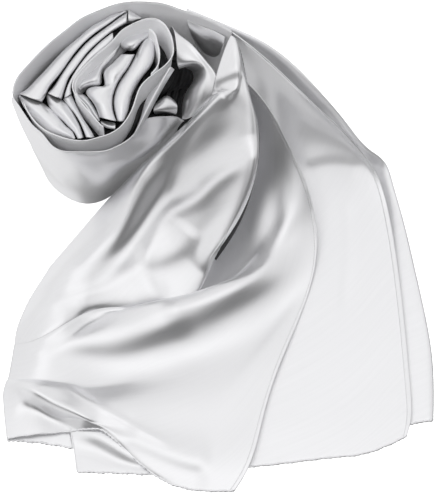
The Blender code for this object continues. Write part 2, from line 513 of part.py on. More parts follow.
def rounded_solid(name, near, far, right_side, ends, profile):
    """Layers that no side shows, as one solid between the near wall and the far wall."""
    mesh = bmesh.new()
    rings = []
    for height, inset in profile:
        outline = np.vstack([
            at_height(near, height * MM, ends[0]),
            right_side,
            at_height(far, height * MM, ends[1])[::-1],
        ])
        centre = outline.mean(axis=0)
        towards = centre - outline
        towards[:, 2] = 0.0
        towards /= np.linalg.norm(towards, axis=1)[:, None]
        points = outline + towards * inset * MM
        points[:, 2] = height * MM
        rings.append([mesh.verts.new(point) for point in points])
    for low, top in zip(rings, rings[1:]):
        for k in range(len(low)):
            after = (k + 1) % len(low)
            mesh.faces.new((low[k], low[after], top[after], top[k]))
    mesh.faces.new(rings[0][::-1])
    mesh.faces.new(rings[-1])
    finish(name, mesh)


def build_roll():
    rim = even(place(WRAP_BACK_RIM), 40)
    foot = even(place(WRAP_BACK_FOOT), 40)
    far = surface([rim, rim * 0.62 + foot * 0.38, foot], 26, 5)
    wall("wrap_back", far, faces="out")
    lines = [place(line) for line in (WRAP_FRONT_RIM, WRAP_FRONT_BULGE, WRAP_FRONT_RECESS,
                                      WRAP_FRONT_LOW, WRAP_FRONT_FOOT)]
    near = surface(lines, 22, 10)
    wall("wrap_front", near, faces="out")
    right_side = even(place(LAYERS_RIGHT_SIDE), 6)
    rounded_solid("hidden_layers", near, far, right_side, (1.0, LAYERS_RIGHT_END), LAYERS_PROFILE)
    band = place(BAND_RIM[CORE_BAND_POINTS])
    out = band - seen(*BAND_CENTRE)
    band += out / np.linalg.norm(out, axis=1)[:, None] * CORE_OUT_OF_BAND
    rounded_solid("core_layers", near, far, band, (CORE_NEAR_END, CORE_FAR_END), CORE_PROFILE)


def back_section(station):
    """A section of the back strip: what shows of it, its outer side, its fold on the table, its underside."""
    seen_points = place(station)
    top = spline(run(seen_points), seen_points, np.array(BACK_SHARES))
    edge = top[-1]
    lying = 1.0 - min(1.0, edge[2] / UNDERSIDE_FROM)
    foot = edge + np.array([0.0, 0.001, 0.0])
    foot[2] = 0.0
    under = foot + np.array([-UNDERSIDE * lying, -UNDERSIDE_LEAST * (1.0 - lying), 0.0])
    shoulder = edge + np.array([0.0010, 0.0008, 0.0])
    shoulder[2] = max(edge[2] - SHOULDER_DROP, edge[2] * 0.7)
    side = edge + np.array([0.0015, 0.001, 0.0])
    side[2] = edge[2] * 0.4
    return np.vstack([top, shoulder, side, foot, under])


def rows_along(rows, steps):
    """A grid through rows that have the same number of points, drawn on between the rows only."""
    rows = np.array(rows)
    columns = range(rows.shape[1])
    knots = np.mean([run(rows[:, k]) for k in columns], axis=0)
    return np.stack([spline(knots, rows[:, k], np.linspace(0, 1, steps)) for k in columns], axis=1)


def build_panels():
    wall("back_panel", rows_along([back_section(row) for row in BACK_PANEL], 22))
    wall("middle_panel", net_surface([place(row) for row in MIDDLE_PANEL], 12, 20))
    wall("drape", net_surface([place(row) for row in DRAPE], 20, 17))
    wall("front_panel", net_surface([place(row) for row in FRONT_PANEL], 24, 24), outer_lowest=CLOTH)
    wall("under_corner", net_surface([place(row) for row in UNDER_CORNER], 6, 4), outer_lowest=CLOTH)
    wall("flap", net_surface([place(row) for row in FLAP], 7, 6), outer_lowest=CLOTH)


def build_band():
    rim = place(BAND_RIM)
    centre = seen(*BAND_CENTRE)
    foot = centre + (rim - centre) * BAND_LEAN
    foot[:, 2] = ON_CORE
    middle = rim * 0.5 + foot * 0.5
    wall("wound_band", surface([rim, middle, foot], 44, 3), faces="out",
         outer_lowest=ON_CORE, inner_lowest=ON_CORE)


def build_folds():
    for name, lines in PLEATS.items():
        outer, crest, inner = [even(place(line), 12) for line in lines]
        behind = crest + (outer - crest) * PLEAT_ROOT
        before = crest + (inner - crest) * PLEAT_ROOT
        behind[:, 2] = ON_CORE
        before[:, 2] = ON_CORE
        sides = [behind, (behind + outer) / 2, outer, crest, inner, (inner + before) / 2, before]
        wall(name, surface(sides, 8, 11), outer_lowest=ON_CORE, inner_lowest=ON_CORE)
    for name, line in STANDING_LAYERS.items():
        top = place(line)
        foot = top * np.array([1.0, 1.0, 0.0]) + np.array([0.0, 0.0, ON_CORE])
        wall(name, surface([top, (top + foot) / 2, foot], 12, 4), faces="out",
             outer_lowest=ON_CORE, inner_lowest=ON_CORE)
    wall("turned_edge", surface([place(line) for line in TURNED_EDGE], 9, 5))
    wall("fold_a", surface([place(line) for line in FOLD_A], 10, 9))
    wall("fold_c", surface([place(line) for line in FOLD_C], 7, 5))
    wall("pocket_fold", surface([place(line) for line in POCKET_FOLD], 6, 6))


def main():
    for old in list(bpy.data.objects):
        bpy.data.objects.remove(old)
    build_roll()
    build_panels()
    build_band()
    build_folds()


COLLECTION = bpy.data.collections.new("evening_stole")
bpy.context.scene.collection.children.link(COLLECTION)
main()
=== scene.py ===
"""The looks of the evening stole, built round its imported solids.

Metres, +Z up. Each stretch of the satin is a thin shell, lofted through its own fold lines, and takes
the place of the solid that stands for it. A point on a fold line is given as it is seen by someone who
looks down on the laid stole from the front: across and down the view in view points, and its height
above the table in millimetres. The function seen() turns that into a place in metres.
"""

import math

import bmesh
import bpy
import numpy as np
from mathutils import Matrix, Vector


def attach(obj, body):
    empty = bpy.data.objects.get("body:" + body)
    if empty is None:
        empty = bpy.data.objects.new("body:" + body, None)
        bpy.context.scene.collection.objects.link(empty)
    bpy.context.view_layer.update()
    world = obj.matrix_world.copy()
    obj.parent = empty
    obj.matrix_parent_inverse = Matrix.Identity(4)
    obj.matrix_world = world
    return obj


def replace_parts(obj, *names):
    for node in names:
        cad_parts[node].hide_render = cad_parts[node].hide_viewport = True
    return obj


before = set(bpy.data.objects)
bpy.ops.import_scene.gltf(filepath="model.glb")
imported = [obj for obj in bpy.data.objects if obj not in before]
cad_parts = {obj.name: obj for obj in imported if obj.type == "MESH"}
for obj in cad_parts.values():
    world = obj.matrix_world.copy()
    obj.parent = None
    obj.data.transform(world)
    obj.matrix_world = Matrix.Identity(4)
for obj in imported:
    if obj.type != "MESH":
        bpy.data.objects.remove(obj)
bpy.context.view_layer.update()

# Real sizes, in metres: how thick the cloth and the strip of a hem are, and how wide and high a hem is.
MM = 0.001
CLOTH = 0.0007
HEM_CLOTH = 0.0004
HEM_WIDTH = 0.005
HEM_RISE = 0.0005
# The section of a hem: how far in from its edge and how high, as shares of its width and rise.
HEM_SECTION = (
    (0.0, 0.55), (0.08, 0.9), (0.25, 1.0), (0.5, 1.0), (0.75, 1.0), (0.9, 0.9), (0.96, 0.55), (1.0, 0.1),
)
# The waves that puckers make along a hem: how much each swells, its metres for each radian, its start.
HEM_WAVES = ((0.16, 0.0051, 0.0), (0.12, 0.0023, 1.0))

# Stitches: from one to the next, then one stitch's length, half width and height, its section in shares
# of these, and the share of its length between its shoulders.
STITCH_PITCH = 0.0030
STITCH_LENGTH = 0.0020
STITCH_HALF_WIDTH = 0.00035
STITCH_HEIGHT = 0.00028
STITCH_SECTION = ((-1, 0.0), (-0.6, 0.8), (0, 1.0), (0.6, 0.8), (1, 0.0))
STITCH_SHOULDER = 0.6

# Rolled edges are tubes: the step between their rings, the points in a ring, and their radii.
TUBE_STEP = 0.0009
TUBE_SIDES = 8
TUBE_END = 0.002
FOLDED_EDGE = 0.0007
NEAR_EDGE = 0.0008
THIN_EDGE = 0.0006
ROLLED_HEM = 0.0010
THICK_ROLLED_HEM = 0.0011
# How much the stitches pull a tube out of shape, as a share of its radius.
PUCKER = 0.22
EDGE_PUCKER = 0.05
BAND_PUCKER = 0.06
FLAP_PUCKER = 0.30
CORNER_PUCKER = 0.35
# The short and the long puckers of a tube and its sway, in metres for each radian.
SHORT_PUCKER = 0.00072
LONG_PUCKER = 0.0019
SWAY = 0.0031
# Hems on the table stay this far above it.
OFF_TABLE = 0.0002

# How often the satin's threads and slubs come in a metre across and along the cloth.
THREAD_SCALE = (60.0, 1400.0, 1.0)
SLUB_SCALE = (14.0, 240.0, 1.0)
ROUGHNESS_SPREAD = 0.03

# The view that the fold lines are given in.
VIEW_ACROSS = 435.0
VIEW_DOWN = 495.0
VIEW_POINT = 0.001
EYE_RISE = math.radians(60.0)
EYE_DISTANCE = 1.90
AIM_X = -0.0013
AIM_Y = 0.034
AIM = np.array([AIM_X, AIM_Y, 0.0])
FORWARD = np.array([0.0, math.cos(EYE_RISE), -math.sin(EYE_RISE)])
RIGHT = np.array([1.0, 0.0, 0.0])
UP = np.cross(RIGHT, FORWARD)
EYE = AIM - FORWARD * EYE_DISTANCE
# The width of the camera's sensor, in millimetres.
SENSOR = 36.0
# The middle of the roll on the table, as it is seen.
ROLL_MIDDLE = (105.0, 146.0, 0.0)

# How many points each surface has, from side to side and from its first line to its last.
FAR_WALL_GRID = (170, 60)
NEAR_WALL_GRID = (170, 130)
BACK_STEPS = 190
MIDDLE_GRID = (130, 190)
DRAPE_GRID = (200, 170)
FRONT_GRID = (190, 200)
UNDER_GRID = (40, 30)
FLAP_GRID = (70, 60)
BAND_GRID = (300, 24)
SECOND_TURN_GRID = (140, 16)
FOLD_GRID = (90, 80)
RIM_POINTS = 80
SECOND_TURN_POINTS = 120
# The far wall's middle line lies between its rim and its foot: the rim's share.
FAR_WALL_MIDDLE = 0.62

# The core of wound layers, and where the folds that stand on it end.
CORE_TOP = 0.118
ON_CORE = CORE_TOP + 0.0003
# The tops of the wound layers rise and fall in rings: how many, and how deep each narrow fold is.
CORE_RINGS = 40
RING_DEPTH = 0.004

# The back strip's outer side and underside, in metres and as shares of its edge's height.
UNDERSIDE = 0.026
UNDERSIDE_FROM = 0.060
UNDERSIDE_LEAST = 0.0025
FOOT_OUT = (0.0, 0.001, 0.0)
SHOULDER_OUT = (0.0010, 0.0008, 0.0)
SHOULDER_DROP = 0.003
SHOULDER_LEAST = 0.7
SIDE_OUT = (0.0015, 0.001, 0.0)
SIDE_HEIGHT = 0.4
BACK_SHARES = np.linspace(0.0, 1.0, 14)

# A rounded fold in the roll: its points along and across, how far its rise may go as a share of its width,
# and how its sides turn under it, as shares of its width and of the way down to the core.
ROUNDED_FOLD_GRID = (70, 26)
STEEPEST_RISE = 0.55
TURNED_UNDER = ((0.05, 0.25), (0.09, 0.6), (0.1, 1.0))
# Folds stay this far inside the roll's far wall.
WALL_CLEAR = 0.0015

# Small folds: the points on the line of one, the share of it where it fades out at each end, and how many
# half widths away a step has faded.
RELIEF_POINTS = 30
RELIEF_END = 0.18
STEP_FADE = 2.5
# The front cloth shares this many of the drape's small folds, so that the two meet at their seam. They meet
# up to this place across the view, with a soft end, and the front cloth bends to it over this many rows.
FOLDS_THAT_RUN_ON = 6
MEET_UNTIL = 182.0
MEET_END = 14.0
MEET_ROWS = 16.0

# The drape's right edge turns in: so many of its last columns are the strip that lies in the dark, its
# colour near black as painted shade. The front cloth goes on under the drape from one column of its upper
# edge, this far to the left. It climbs to the drape's underside, but not to that of so many last columns.
IN_THE_DARK = 5
TURNED_COLUMNS = 12
TUCK_FROM = 110
TUCK_IN = 0.012
TUCK_ROWS = 30

# The room is bright, with three dark places low in front of the stole: how far each is turned from the
# right and how high it is, in degrees. The satin's valleys mirror them, and so turn grey.
DARK_SIDES = ((-40.0, 18.0), (-76.0, 21.0), (-112.0, 24.0))
# The room's light in pairs, a place on a scale and the light there: by the angle in degrees to a dark place,
# by height, by side, and by side below the table. Height and side run from -1 to 1.
BY_ANGLE_TO_DARK_SIDE = ((0.0, 0.05), (12.0, 0.09), (21.0, 0.42), (29.0, 0.86), (38.0, 1.0))
BY_HEIGHT = (
    (-1.0, 0.74), (0.0, 0.80), (0.3, 0.86), (0.6, 0.86), (0.75, 0.82), (0.88, 0.88), (0.96, 1.04),
    (1.0, 1.12),
)
BY_SIDE = ((-1.0, 0.98), (0.0, 1.0), (0.5, 0.99), (1.0, 0.86))
BELOW_BY_SIDE = ((-1.0, 0.95), (-0.3, 0.90), (-0.08, 0.38), (0.0, 0.30), (0.4, 0.10), (1.0, 0.07))
# The light from below gives way to the light from above between these heights.
BELOW_ENDS = -0.25
ABOVE_STARTS = 0.1
# The lamps: name, place, size and power. The satin doesn't mirror them.
LAMPS = (
    ("key", (-0.9, 0.7, 1.9), 1.2, 5.0),
    ("fill", (0.5, -0.9, 1.9), 1.4, 9.0),
    ("side", (-1.3, -0.5, 1.5), 1.2, 7.0),
)
LAMPS_AIM = Vector((0, 0, 0.05))

# The floor: half its side, how far under the stole it lies, its colour and how much it glows.
FLOOR_REACH = 3.0
FLOOR_DROP = 0.0002
FLOOR_COLOUR = (0.97, 0.97, 0.97)
FLOOR_GLOW = 0.85

# The right side of the hidden layers on the table, between the feet of the near wall and the far wall.
LAYERS_RIGHT_SIDE = ((192.0, 137.0, 0), (202.0, 133.0, 0), (208.0, 126.0, 0))
# They reach all along the near wall, and along the far wall as far as this.
LAYERS_NEAR_END = 1.0
LAYERS_RIGHT_END = -0.006
# Their profile, and that of the wound core on them: height and inset from the walls, in millimetres.
LAYERS_PROFILE = ((0.0, 3.2), (28.0, 3.2), (56.0, 3.2), (80.0, 4.4), (92.0, 9.0))
CORE_PROFILE = ((92.3, 9.0), (104.0, 3.8), (118.0, 5.0))
# The core reaches this far to the right along the near wall and the far wall, and this far out of the band.
CORE_NEAR_END = -0.092
CORE_FAR_END = -0.048
CORE_OUT_OF_BAND = 0.004
CORE_BAND_POINTS = slice(12, 23)

# The outer turn of the roll, its far side: its upper edge, from the left tip to where it leaves the roll.
WRAP_BACK_RIM = (
    (12.2, 94.3, 146), (13.5, 87.0, 147), (17.0, 78.0, 148), (24.0, 69.0, 148), (38.0, 54.0, 148),
    (53.0, 40.0, 148), (67.0, 29.0, 148), (81.0, 18.5, 148), (96.0, 11.5, 148), (110.0, 6.0, 148),
    (124.0, 2.6, 148), (139.0, 1.6, 148), (150.0, 2.0, 148), (163.0, 3.6, 148), (181.0, 9.6, 148),
    (196.0, 14.4, 148), (215.0, 22.5, 148), (232.0, 31.5, 148),
)
# Its foot on the table, in the same order.
WRAP_BACK_FOOT = (
    (41.0, 163.0, 0), (40.0, 150.0, 0), (44.0, 138.0, 0), (52.0, 126.0, 0), (64.0, 114.0, 0),
    (78.0, 104.0, 0), (92.0, 96.0, 0), (108.0, 90.0, 0), (124.0, 87.0, 0), (140.0, 86.0, 0),
    (156.0, 91.0, 0), (172.0, 97.0, 0), (186.0, 103.0, 0), (200.0, 108.0, 0), (214.0, 110.0, 0),
    (232.0, 112.0, 0),
)

# The outer turn, its near side: its upper edge from the left tip to the right, where the drape covers it.
WRAP_FRONT_RIM = (
    (12.5, 97.0, 146), (15.0, 101.0, 146), (22.0, 111.0, 146), (33.0, 126.0, 144), (43.0, 135.0, 143),
    (51.0, 145.0, 140), (60.0, 150.5, 139), (71.0, 152.0, 139), (89.0, 152.0, 138), (105.0, 151.0, 137),
    (117.0, 146.5, 136), (128.0, 140.0, 134), (138.0, 128.5, 126), (146.0, 119.5, 114),
    (155.0, 117.5, 107), (166.0, 117.0, 99), (177.0, 117.5, 90), (184.0, 121.5, 82),
)
WRAP_FRONT_BULGE = (
    (12.5, 105.0, 128), (17.0, 116.0, 122), (24.0, 128.0, 118), (35.0, 141.0, 116), (47.0, 151.0, 115),
    (60.0, 160.0, 114), (73.0, 165.0, 113), (88.0, 167.0, 111), (103.0, 165.5, 107),
    (118.0, 162.0, 102), (133.0, 156.5, 97), (148.0, 148.5, 90), (162.0, 139.5, 82),
    (172.0, 130.0, 76), (182.0, 122.5, 72),
)
WRAP_FRONT_RECESS = (
    (26.0, 134.0, 88), (31.0, 146.0, 82), (38.0, 157.0, 76), (48.0, 168.0, 72), (59.0, 176.0, 71),
    (72.0, 180.0, 72), (86.0, 182.0, 73), (100.0, 180.0, 74), (115.0, 173.5, 74),
    (130.0, 165.0, 72), (145.0, 156.0, 68), (158.0, 146.0, 64), (168.0, 137.0, 60), (178.0, 128.0, 58),
)
WRAP_FRONT_LOW = (
    (33.0, 151.0, 50), (40.0, 163.0, 42), (49.0, 174.0, 36), (59.0, 184.0, 31), (71.0, 192.0, 28),
    (83.0, 195.0, 27), (97.0, 193.0, 28), (112.0, 185.0, 32), (128.0, 173.0, 34),
    (143.0, 162.0, 34), (157.0, 151.0, 32), (168.0, 142.0, 30), (178.0, 133.0, 28),
)
WRAP_FRONT_FOOT = (
    (41.5, 166.0, 0), (46.0, 177.0, 0), (54.0, 188.0, 0), (64.0, 196.0, 0), (76.0, 202.0, 0),
    (88.0, 204.0, 0), (102.0, 201.0, 0), (116.0, 193.0, 0), (131.0, 182.0, 0),
    (146.0, 171.0, 0), (158.0, 162.0, 0), (168.0, 154.0, 0), (178.0, 146.0, 0),
)

# The back strip: the stole's lowest folded layer. Columns: hidden under the middle panel, valley beside
# its hem, crown, outer edge.
BACK_PANEL = (
    ((184.6, 16.0, 133), (185.6, 12.5, 139), (186.4, 10.0, 142.5), (187.0, 8.0, 143)),
    ((206.2, 24.5, 134), (207.4, 21.5, 139), (208.3, 19.1, 142), (209.0, 17.2, 143)),
    ((231.8, 36.6, 130), (233.4, 33.3, 136), (234.8, 30.6, 141), (236.0, 28.4, 142)),
    ((260.0, 55.0, 118), (262.8, 49.7, 126), (264.7, 45.7, 132), (266.0, 43.2, 133)),
    ((282.0, 76.5, 98), (287.0, 70.5, 108), (290.8, 66.0, 116), (293.0, 63.6, 117)),
    ((308.0, 106.0, 74), (314.6, 100.0, 84), (319.4, 95.8, 92), (322.0, 93.5, 94)),
    ((333.0, 135.0, 43), (340.0, 129.0, 52), (344.4, 125.2, 64), (347.0, 123.2, 66)),
    ((358.0, 163.0, 16), (365.0, 156.2, 26), (369.0, 152.4, 36.5), (371.2, 150.6, 38)),
    ((364.0, 177.0, 8), (373.5, 168.0, 12), (381.5, 163.0, 19), (384.5, 161.5, 20)),
    ((366.0, 194.0, 4.5), (380.5, 183.0, 6), (388.0, 179.5, 11.5), (391.0, 178.0, 12)),
    ((362.0, 236.0, 3.6), (391.0, 216.0, 4), (397.0, 213.0, 7), (402.0, 218.0, 7)),
    ((370.0, 280.0, 3.6), (399.0, 265.0, 4), (407.0, 262.0, 6), (414.0, 269.0, 6)),
    ((374.0, 330.0, 3.6), (404.0, 320.0, 4), (417.0, 316.0, 6), (426.0, 324.0, 6)),
    ((378.0, 380.0, 3.6), (409.0, 372.0, 4), (422.0, 370.0, 5.5), (432.0, 370.0, 5.5)),
    ((382.0, 426.0, 3.6), (412.0, 424.0, 4), (422.0, 421.5, 5), (432.2, 420.5, 5)),
)

# The middle panel, which carries on from the far side of the outer turn. Columns: hidden foot, lower
# slope, upper slope, second edge inside the hem, hem edge.
MIDDLE_PANEL = (
    ((236.2, 117.0, 0), (235.6, 90.0, 52), (234.2, 60.0, 100), (233.1, 38.5, 138), (232.3, 32.2, 147)),
    ((252.0, 121.0, 2), (252.0, 96.0, 50), (253.0, 70.0, 94), (252.0, 52.5, 130), (252.2, 47.4, 139)),
    ((262.0, 138.0, 3), (264.0, 114.0, 44), (271.0, 88.0, 84), (275.0, 73.0, 112), (277.0, 69.0, 121)),
    ((268.0, 164.0, 4), (275.0, 138.0, 36), (289.0, 112.0, 66), (304.0, 100.0, 88), (308.6, 99.5, 95)),
    ((276.0, 196.0, 6), (287.0, 170.0, 24), (306.0, 142.0, 44), (328.0, 124.0, 62), (334.5, 123.6, 66)),
    ((284.0, 226.0, 5), (298.0, 206.0, 12), (322.0, 176.0, 24), (352.0, 149.5, 36), (359.0, 149.5, 38)),
    ((288.0, 252.0, 5), (302.0, 240.0, 7), (336.0, 212.0, 12), (372.0, 177.0, 18), (378.0, 178.0, 19)),
    ((284.0, 286.0, 5), (300.0, 276.0, 6), (344.0, 254.0, 9), (382.0, 224.0, 10), (390.8, 223.0, 10)),
    ((272.0, 322.0, 5), (294.0, 316.0, 6), (344.0, 302.0, 7), (389.0, 284.0, 7), (399.8, 282.0, 7)),
    ((260.0, 362.0, 5), (286.0, 360.0, 6), (344.0, 350.0, 6.5), (394.0, 336.0, 6.5), (405.6, 334.0, 6.5)),
    ((246.0, 402.0, 5), (276.0, 402.0, 6), (344.0, 396.0, 6), (398.0, 384.0, 6), (410.0, 382.0, 6)),
    ((236.0, 436.0, 5), (268.0, 436.0, 6), (344.0, 430.0, 6), (398.0, 420.0, 6), (411.4, 415.0, 6)),
    ((228.0, 466.0, 5), (256.0, 466.0, 5), (335.0, 457.0, 5), (388.0, 445.0, 5.5), (407.0, 436.0, 5.5)),
)

# The front cloth above its crease: the drape that falls from the roll. Rows are its fold lines. Columns:
# left edge, crown of the left side, four points along the fold, right edge.
DRAPE = (
    ((50.0, 266.0, 3), (76.0, 236.0, 4), (98.0, 210.5, 12), (128.0, 178.5, 42), (172.0, 136.5, 80),
     (210.0, 97.0, 117), (217.0, 72.0, 137), (231.5, 35.5, 149)),
    ((42.0, 279.0, 3), (64.0, 262.0, 20), (108.0, 222.0, 33), (140.0, 171.5, 68), (181.0, 134.0, 94),
     (224.0, 92.0, 131), (237.0, 80.0, 141), (238.5, 46.0, 147)),
    ((30.0, 298.0, 3), (56.0, 284.0, 22), (104.0, 262.0, 27), (134.0, 226.0, 40), (172.0, 170.0, 70),
     (212.0, 126.0, 107), (238.0, 102.0, 125), (250.0, 95.0, 127)),
    ((21.0, 317.0, 3), (46.0, 304.0, 22), (100.0, 288.0, 25), (143.0, 258.0, 31), (172.0, 213.0, 50),
     (214.0, 184.0, 76), (246.0, 152.0, 99), (259.0, 137.0, 100)),
    ((17.0, 328.0, 3), (41.0, 318.0, 20), (96.0, 297.0, 22), (146.0, 279.0, 23), (180.0, 244.0, 36),
     (214.0, 214.0, 58), (242.0, 186.0, 78), (255.5, 176.0, 76)),
    ((15.0, 338.0, 3), (39.0, 331.0, 19), (95.0, 305.0, 18), (148.0, 294.0, 16), (188.0, 272.0, 23),
     (214.0, 244.0, 38), (230.0, 226.0, 49), (238.5, 218.0, 50)),
    ((14.4, 344.2, 3.4), (38.2, 338.6, 18), (94.0, 310.0, 15), (146.0, 308.6, 9.6), (180.0, 302.0, 10),
     (200.0, 290.0, 12), (206.5, 272.0, 20), (212.5, 256.0, 29)),
)

# How far the drape's right edge turns under in each row: across, down the view, and down in millimetres.
DRAPE_TURNED_UNDER = (
    (1.5, 5.0, 4), (2.0, 4.5, 7), (1.2, 5.0, 9), (0.8, 5.0, 9), (-0.5, 4.0, 9), (1.5, 5.0, 9),
    (3.5, 4.5, 7),
)

# The front cloth below the drape. Rows are its fold lines, from the tuck under the drape's right edge to the
# bottom hem. Columns: left edge, crown of the left side, six points across, right hem.
FRONT_PANEL = (
    ((14.4, 344.2, 3.4), (38.2, 338.6, 18), (94.0, 310.0, 15), (146.0, 308.6, 9.6), (180.0, 302.0, 10),
     (202.0, 284.0, 4), (216.0, 244.0, 8), (232.0, 170.0, 30), (240.0, 76.0, 118)),
    ((13.6, 348.0, 3.4), (37.0, 343.0, 18), (95.0, 313.5, 13.8), (146.0, 311.0, 10), (185.0, 303.5, 10),
     (216.0, 288.0, 8), (238.0, 250.0, 15), (256.0, 182.0, 38), (266.0, 104.0, 104)),
    ((13.0, 351.0, 3.4), (36.0, 347.0, 18), (96.0, 317.0, 13.2), (147.0, 307.0, 16), (186.0, 299.0, 17),
     (222.0, 288.0, 15), (252.0, 258.0, 18), (276.0, 206.0, 31), (288.0, 144.0, 72)),
    ((12.5, 354.0, 3.4), (35.5, 352.0, 18), (97.0, 321.0, 13.8), (148.0, 302.5, 22), (187.0, 294.0, 24),
     (222.0, 282.0, 24), (250.0, 268.0, 22), (282.0, 234.0, 24), (304.0, 178.0, 48)),
    ((12.0, 358.0, 3.4), (35.0, 358.0, 17), (98.0, 330.0, 17.0), (150.0, 314.0, 25), (191.0, 305.0, 26),
     (226.0, 292.0, 26), (256.0, 276.0, 24), (290.0, 246.0, 21), (314.0, 212.0, 27)),
    ((10.8, 364.0, 3.4), (34.0, 366.0, 16), (102.0, 349.0, 12), (153.0, 336.0, 17), (196.0, 323.0, 18),
     (232.0, 309.0, 17), (264.0, 291.0, 16), (297.0, 267.0, 14), (317.0, 244.0, 15)),
    ((9.2, 373.0, 3.4), (32.0, 374.0, 15), (106.0, 370.0, 6.5), (156.0, 358.0, 8), (200.0, 344.0, 8),
     (237.0, 331.0, 8), (269.0, 312.0, 8), (298.0, 290.0, 9), (314.0, 272.0, 10)),
    ((6.2, 381.0, 3.4), (28.0, 380.0, 15), (76.0, 390.0, 12), (112.0, 398.0, 9.5), (150.0, 402.0, 9),
     (188.0, 400.0, 9), (224.0, 388.0, 9), (256.0, 366.0, 9), (285.0, 352.0, 9)),
    ((4.2, 387.0, 3.4), (20.0, 387.0, 15), (50.0, 400.0, 16), (80.0, 414.5, 15), (110.0, 426.0, 11),
     (144.0, 438.0, 9), (184.0, 442.0, 9), (228.0, 432.0, 9), (264.0, 414.0, 9)),
    ((3.0, 398.0, 3.4), (21.0, 400.0, 9), (43.0, 410.0, 8), (67.0, 418.0, 8), (96.0, 423.5, 12),
     (122.0, 439.0, 10.5), (156.0, 462.0, 9), (206.0, 466.0, 9), (253.0, 456.0, 9)),
    ((6.5, 438.6, 3.4), (28.0, 435.2, 5), (52.0, 433.0, 5), (73.0, 431.0, 6), (99.0, 429.5, 9.5),
     (117.0, 442.0, 8), (150.0, 471.5, 5), (190.0, 489.0, 5), (234.5, 491.0, 5)),
)

# The layer under the front cloth at its left corner. Columns: left, two points across, right.
UNDER_CORNER = (
    ((9.0, 398.0, 1.5), (28.0, 402.0, 1.5), (50.0, 406.0, 1.5), (67.0, 412.0, 1.5)),
    ((6.4, 420.0, 1.5), (28.0, 424.0, 1.5), (50.0, 427.0, 1.5), (70.2, 432.0, 1.5)),
    ((6.6, 440.2, 1.5), (28.0, 441.6, 1.5), (50.0, 444.2, 1.5), (73.0, 448.2, 1.5)),
)

# The small flap that shows below the front cloth's left corner.
FLAP = (
    ((69.5, 422.0, 4.0), (92.0, 424.0, 6.5), (120.0, 438.0, 6.5), (146.0, 460.0, 3.0)),
    ((71.5, 435.0, 3.5), (92.0, 437.0, 6.5), (117.0, 449.0, 6.5), (146.5, 465.0, 2.5)),
    ((73.5, 446.0, 1.8), (94.0, 448.5, 1.8), (118.0, 459.0, 1.8), (147.5, 468.0, 1.6)),
    ((75.0, 456.0, 1.5), (94.0, 460.0, 1.5), (118.0, 466.0, 1.5), (149.0, 471.0, 1.5)),
    ((77.0, 472.0, 1.6), (100.0, 472.4, 1.6), (123.0, 473.2, 1.6), (152.0, 474.5, 1.6)),
)

# The hemmed edge of the wound band: along the near side, round the core and down into it.
BAND_RIM = (
    (24.0, 104.0, 149), (28.0, 112.0, 150), (34.5, 121.0, 150), (43.0, 128.8, 150), (52.0, 133.8, 150),
    (64.0, 138.0, 150), (75.0, 140.5, 150), (87.0, 140.5, 150), (97.0, 138.0, 150), (107.0, 135.0, 150),
    (116.0, 130.5, 150), (124.0, 123.0, 150), (131.0, 112.0, 150), (135.5, 100.0, 150),
    (138.5, 91.0, 150), (143.5, 83.0, 150), (150.0, 77.0, 150), (158.0, 71.0, 150), (167.0, 63.6, 150),
    (172.5, 55.0, 150), (173.0, 44.0, 150), (169.4, 32.0, 150), (163.0, 23.0, 150),
    (155.6, 19.0, 150), (144.0, 19.6, 150), (133.0, 24.0, 150), (121.0, 31.4, 150),
    (113.6, 40.0, 150), (105.0, 48.0, 150), (94.0, 57.0, 150), (83.0, 68.0, 150), (75.5, 77.0, 150),
    (72.5, 86.0, 150), (75.0, 94.0, 150), (81.0, 102.5, 149), (91.0, 114.0, 148), (99.0, 123.5, 147),
)
BAND_CENTRE = (108.0, 92.0, 150)
# How much narrower the band's foot is than its rim.
BAND_LEAN = 0.94

# The narrow turned edge that climbs from the near side to the right of the core: the dark face beside the
# band, its bright crest, its right edge.
TURNED_EDGE = (
    ((140.0, 122.0, 124), (144.0, 105.0, 127), (150.0, 93.0, 131), (158.0, 84.0, 134), (165.0, 75.5, 139)),
    ((133.0, 137.0, 137), (139.0, 127.0, 139), (146.0, 113.0, 141), (154.0, 97.5, 143), (163.0, 81.0, 146),
     (171.0, 67.0, 148)),
    ((134.8, 138.2, 127.5), (149.5, 114.0, 133), (155.0, 103.0, 135), (161.0, 92.0, 137),
     (168.0, 80.0, 140), (174.5, 69.5, 143)),
)

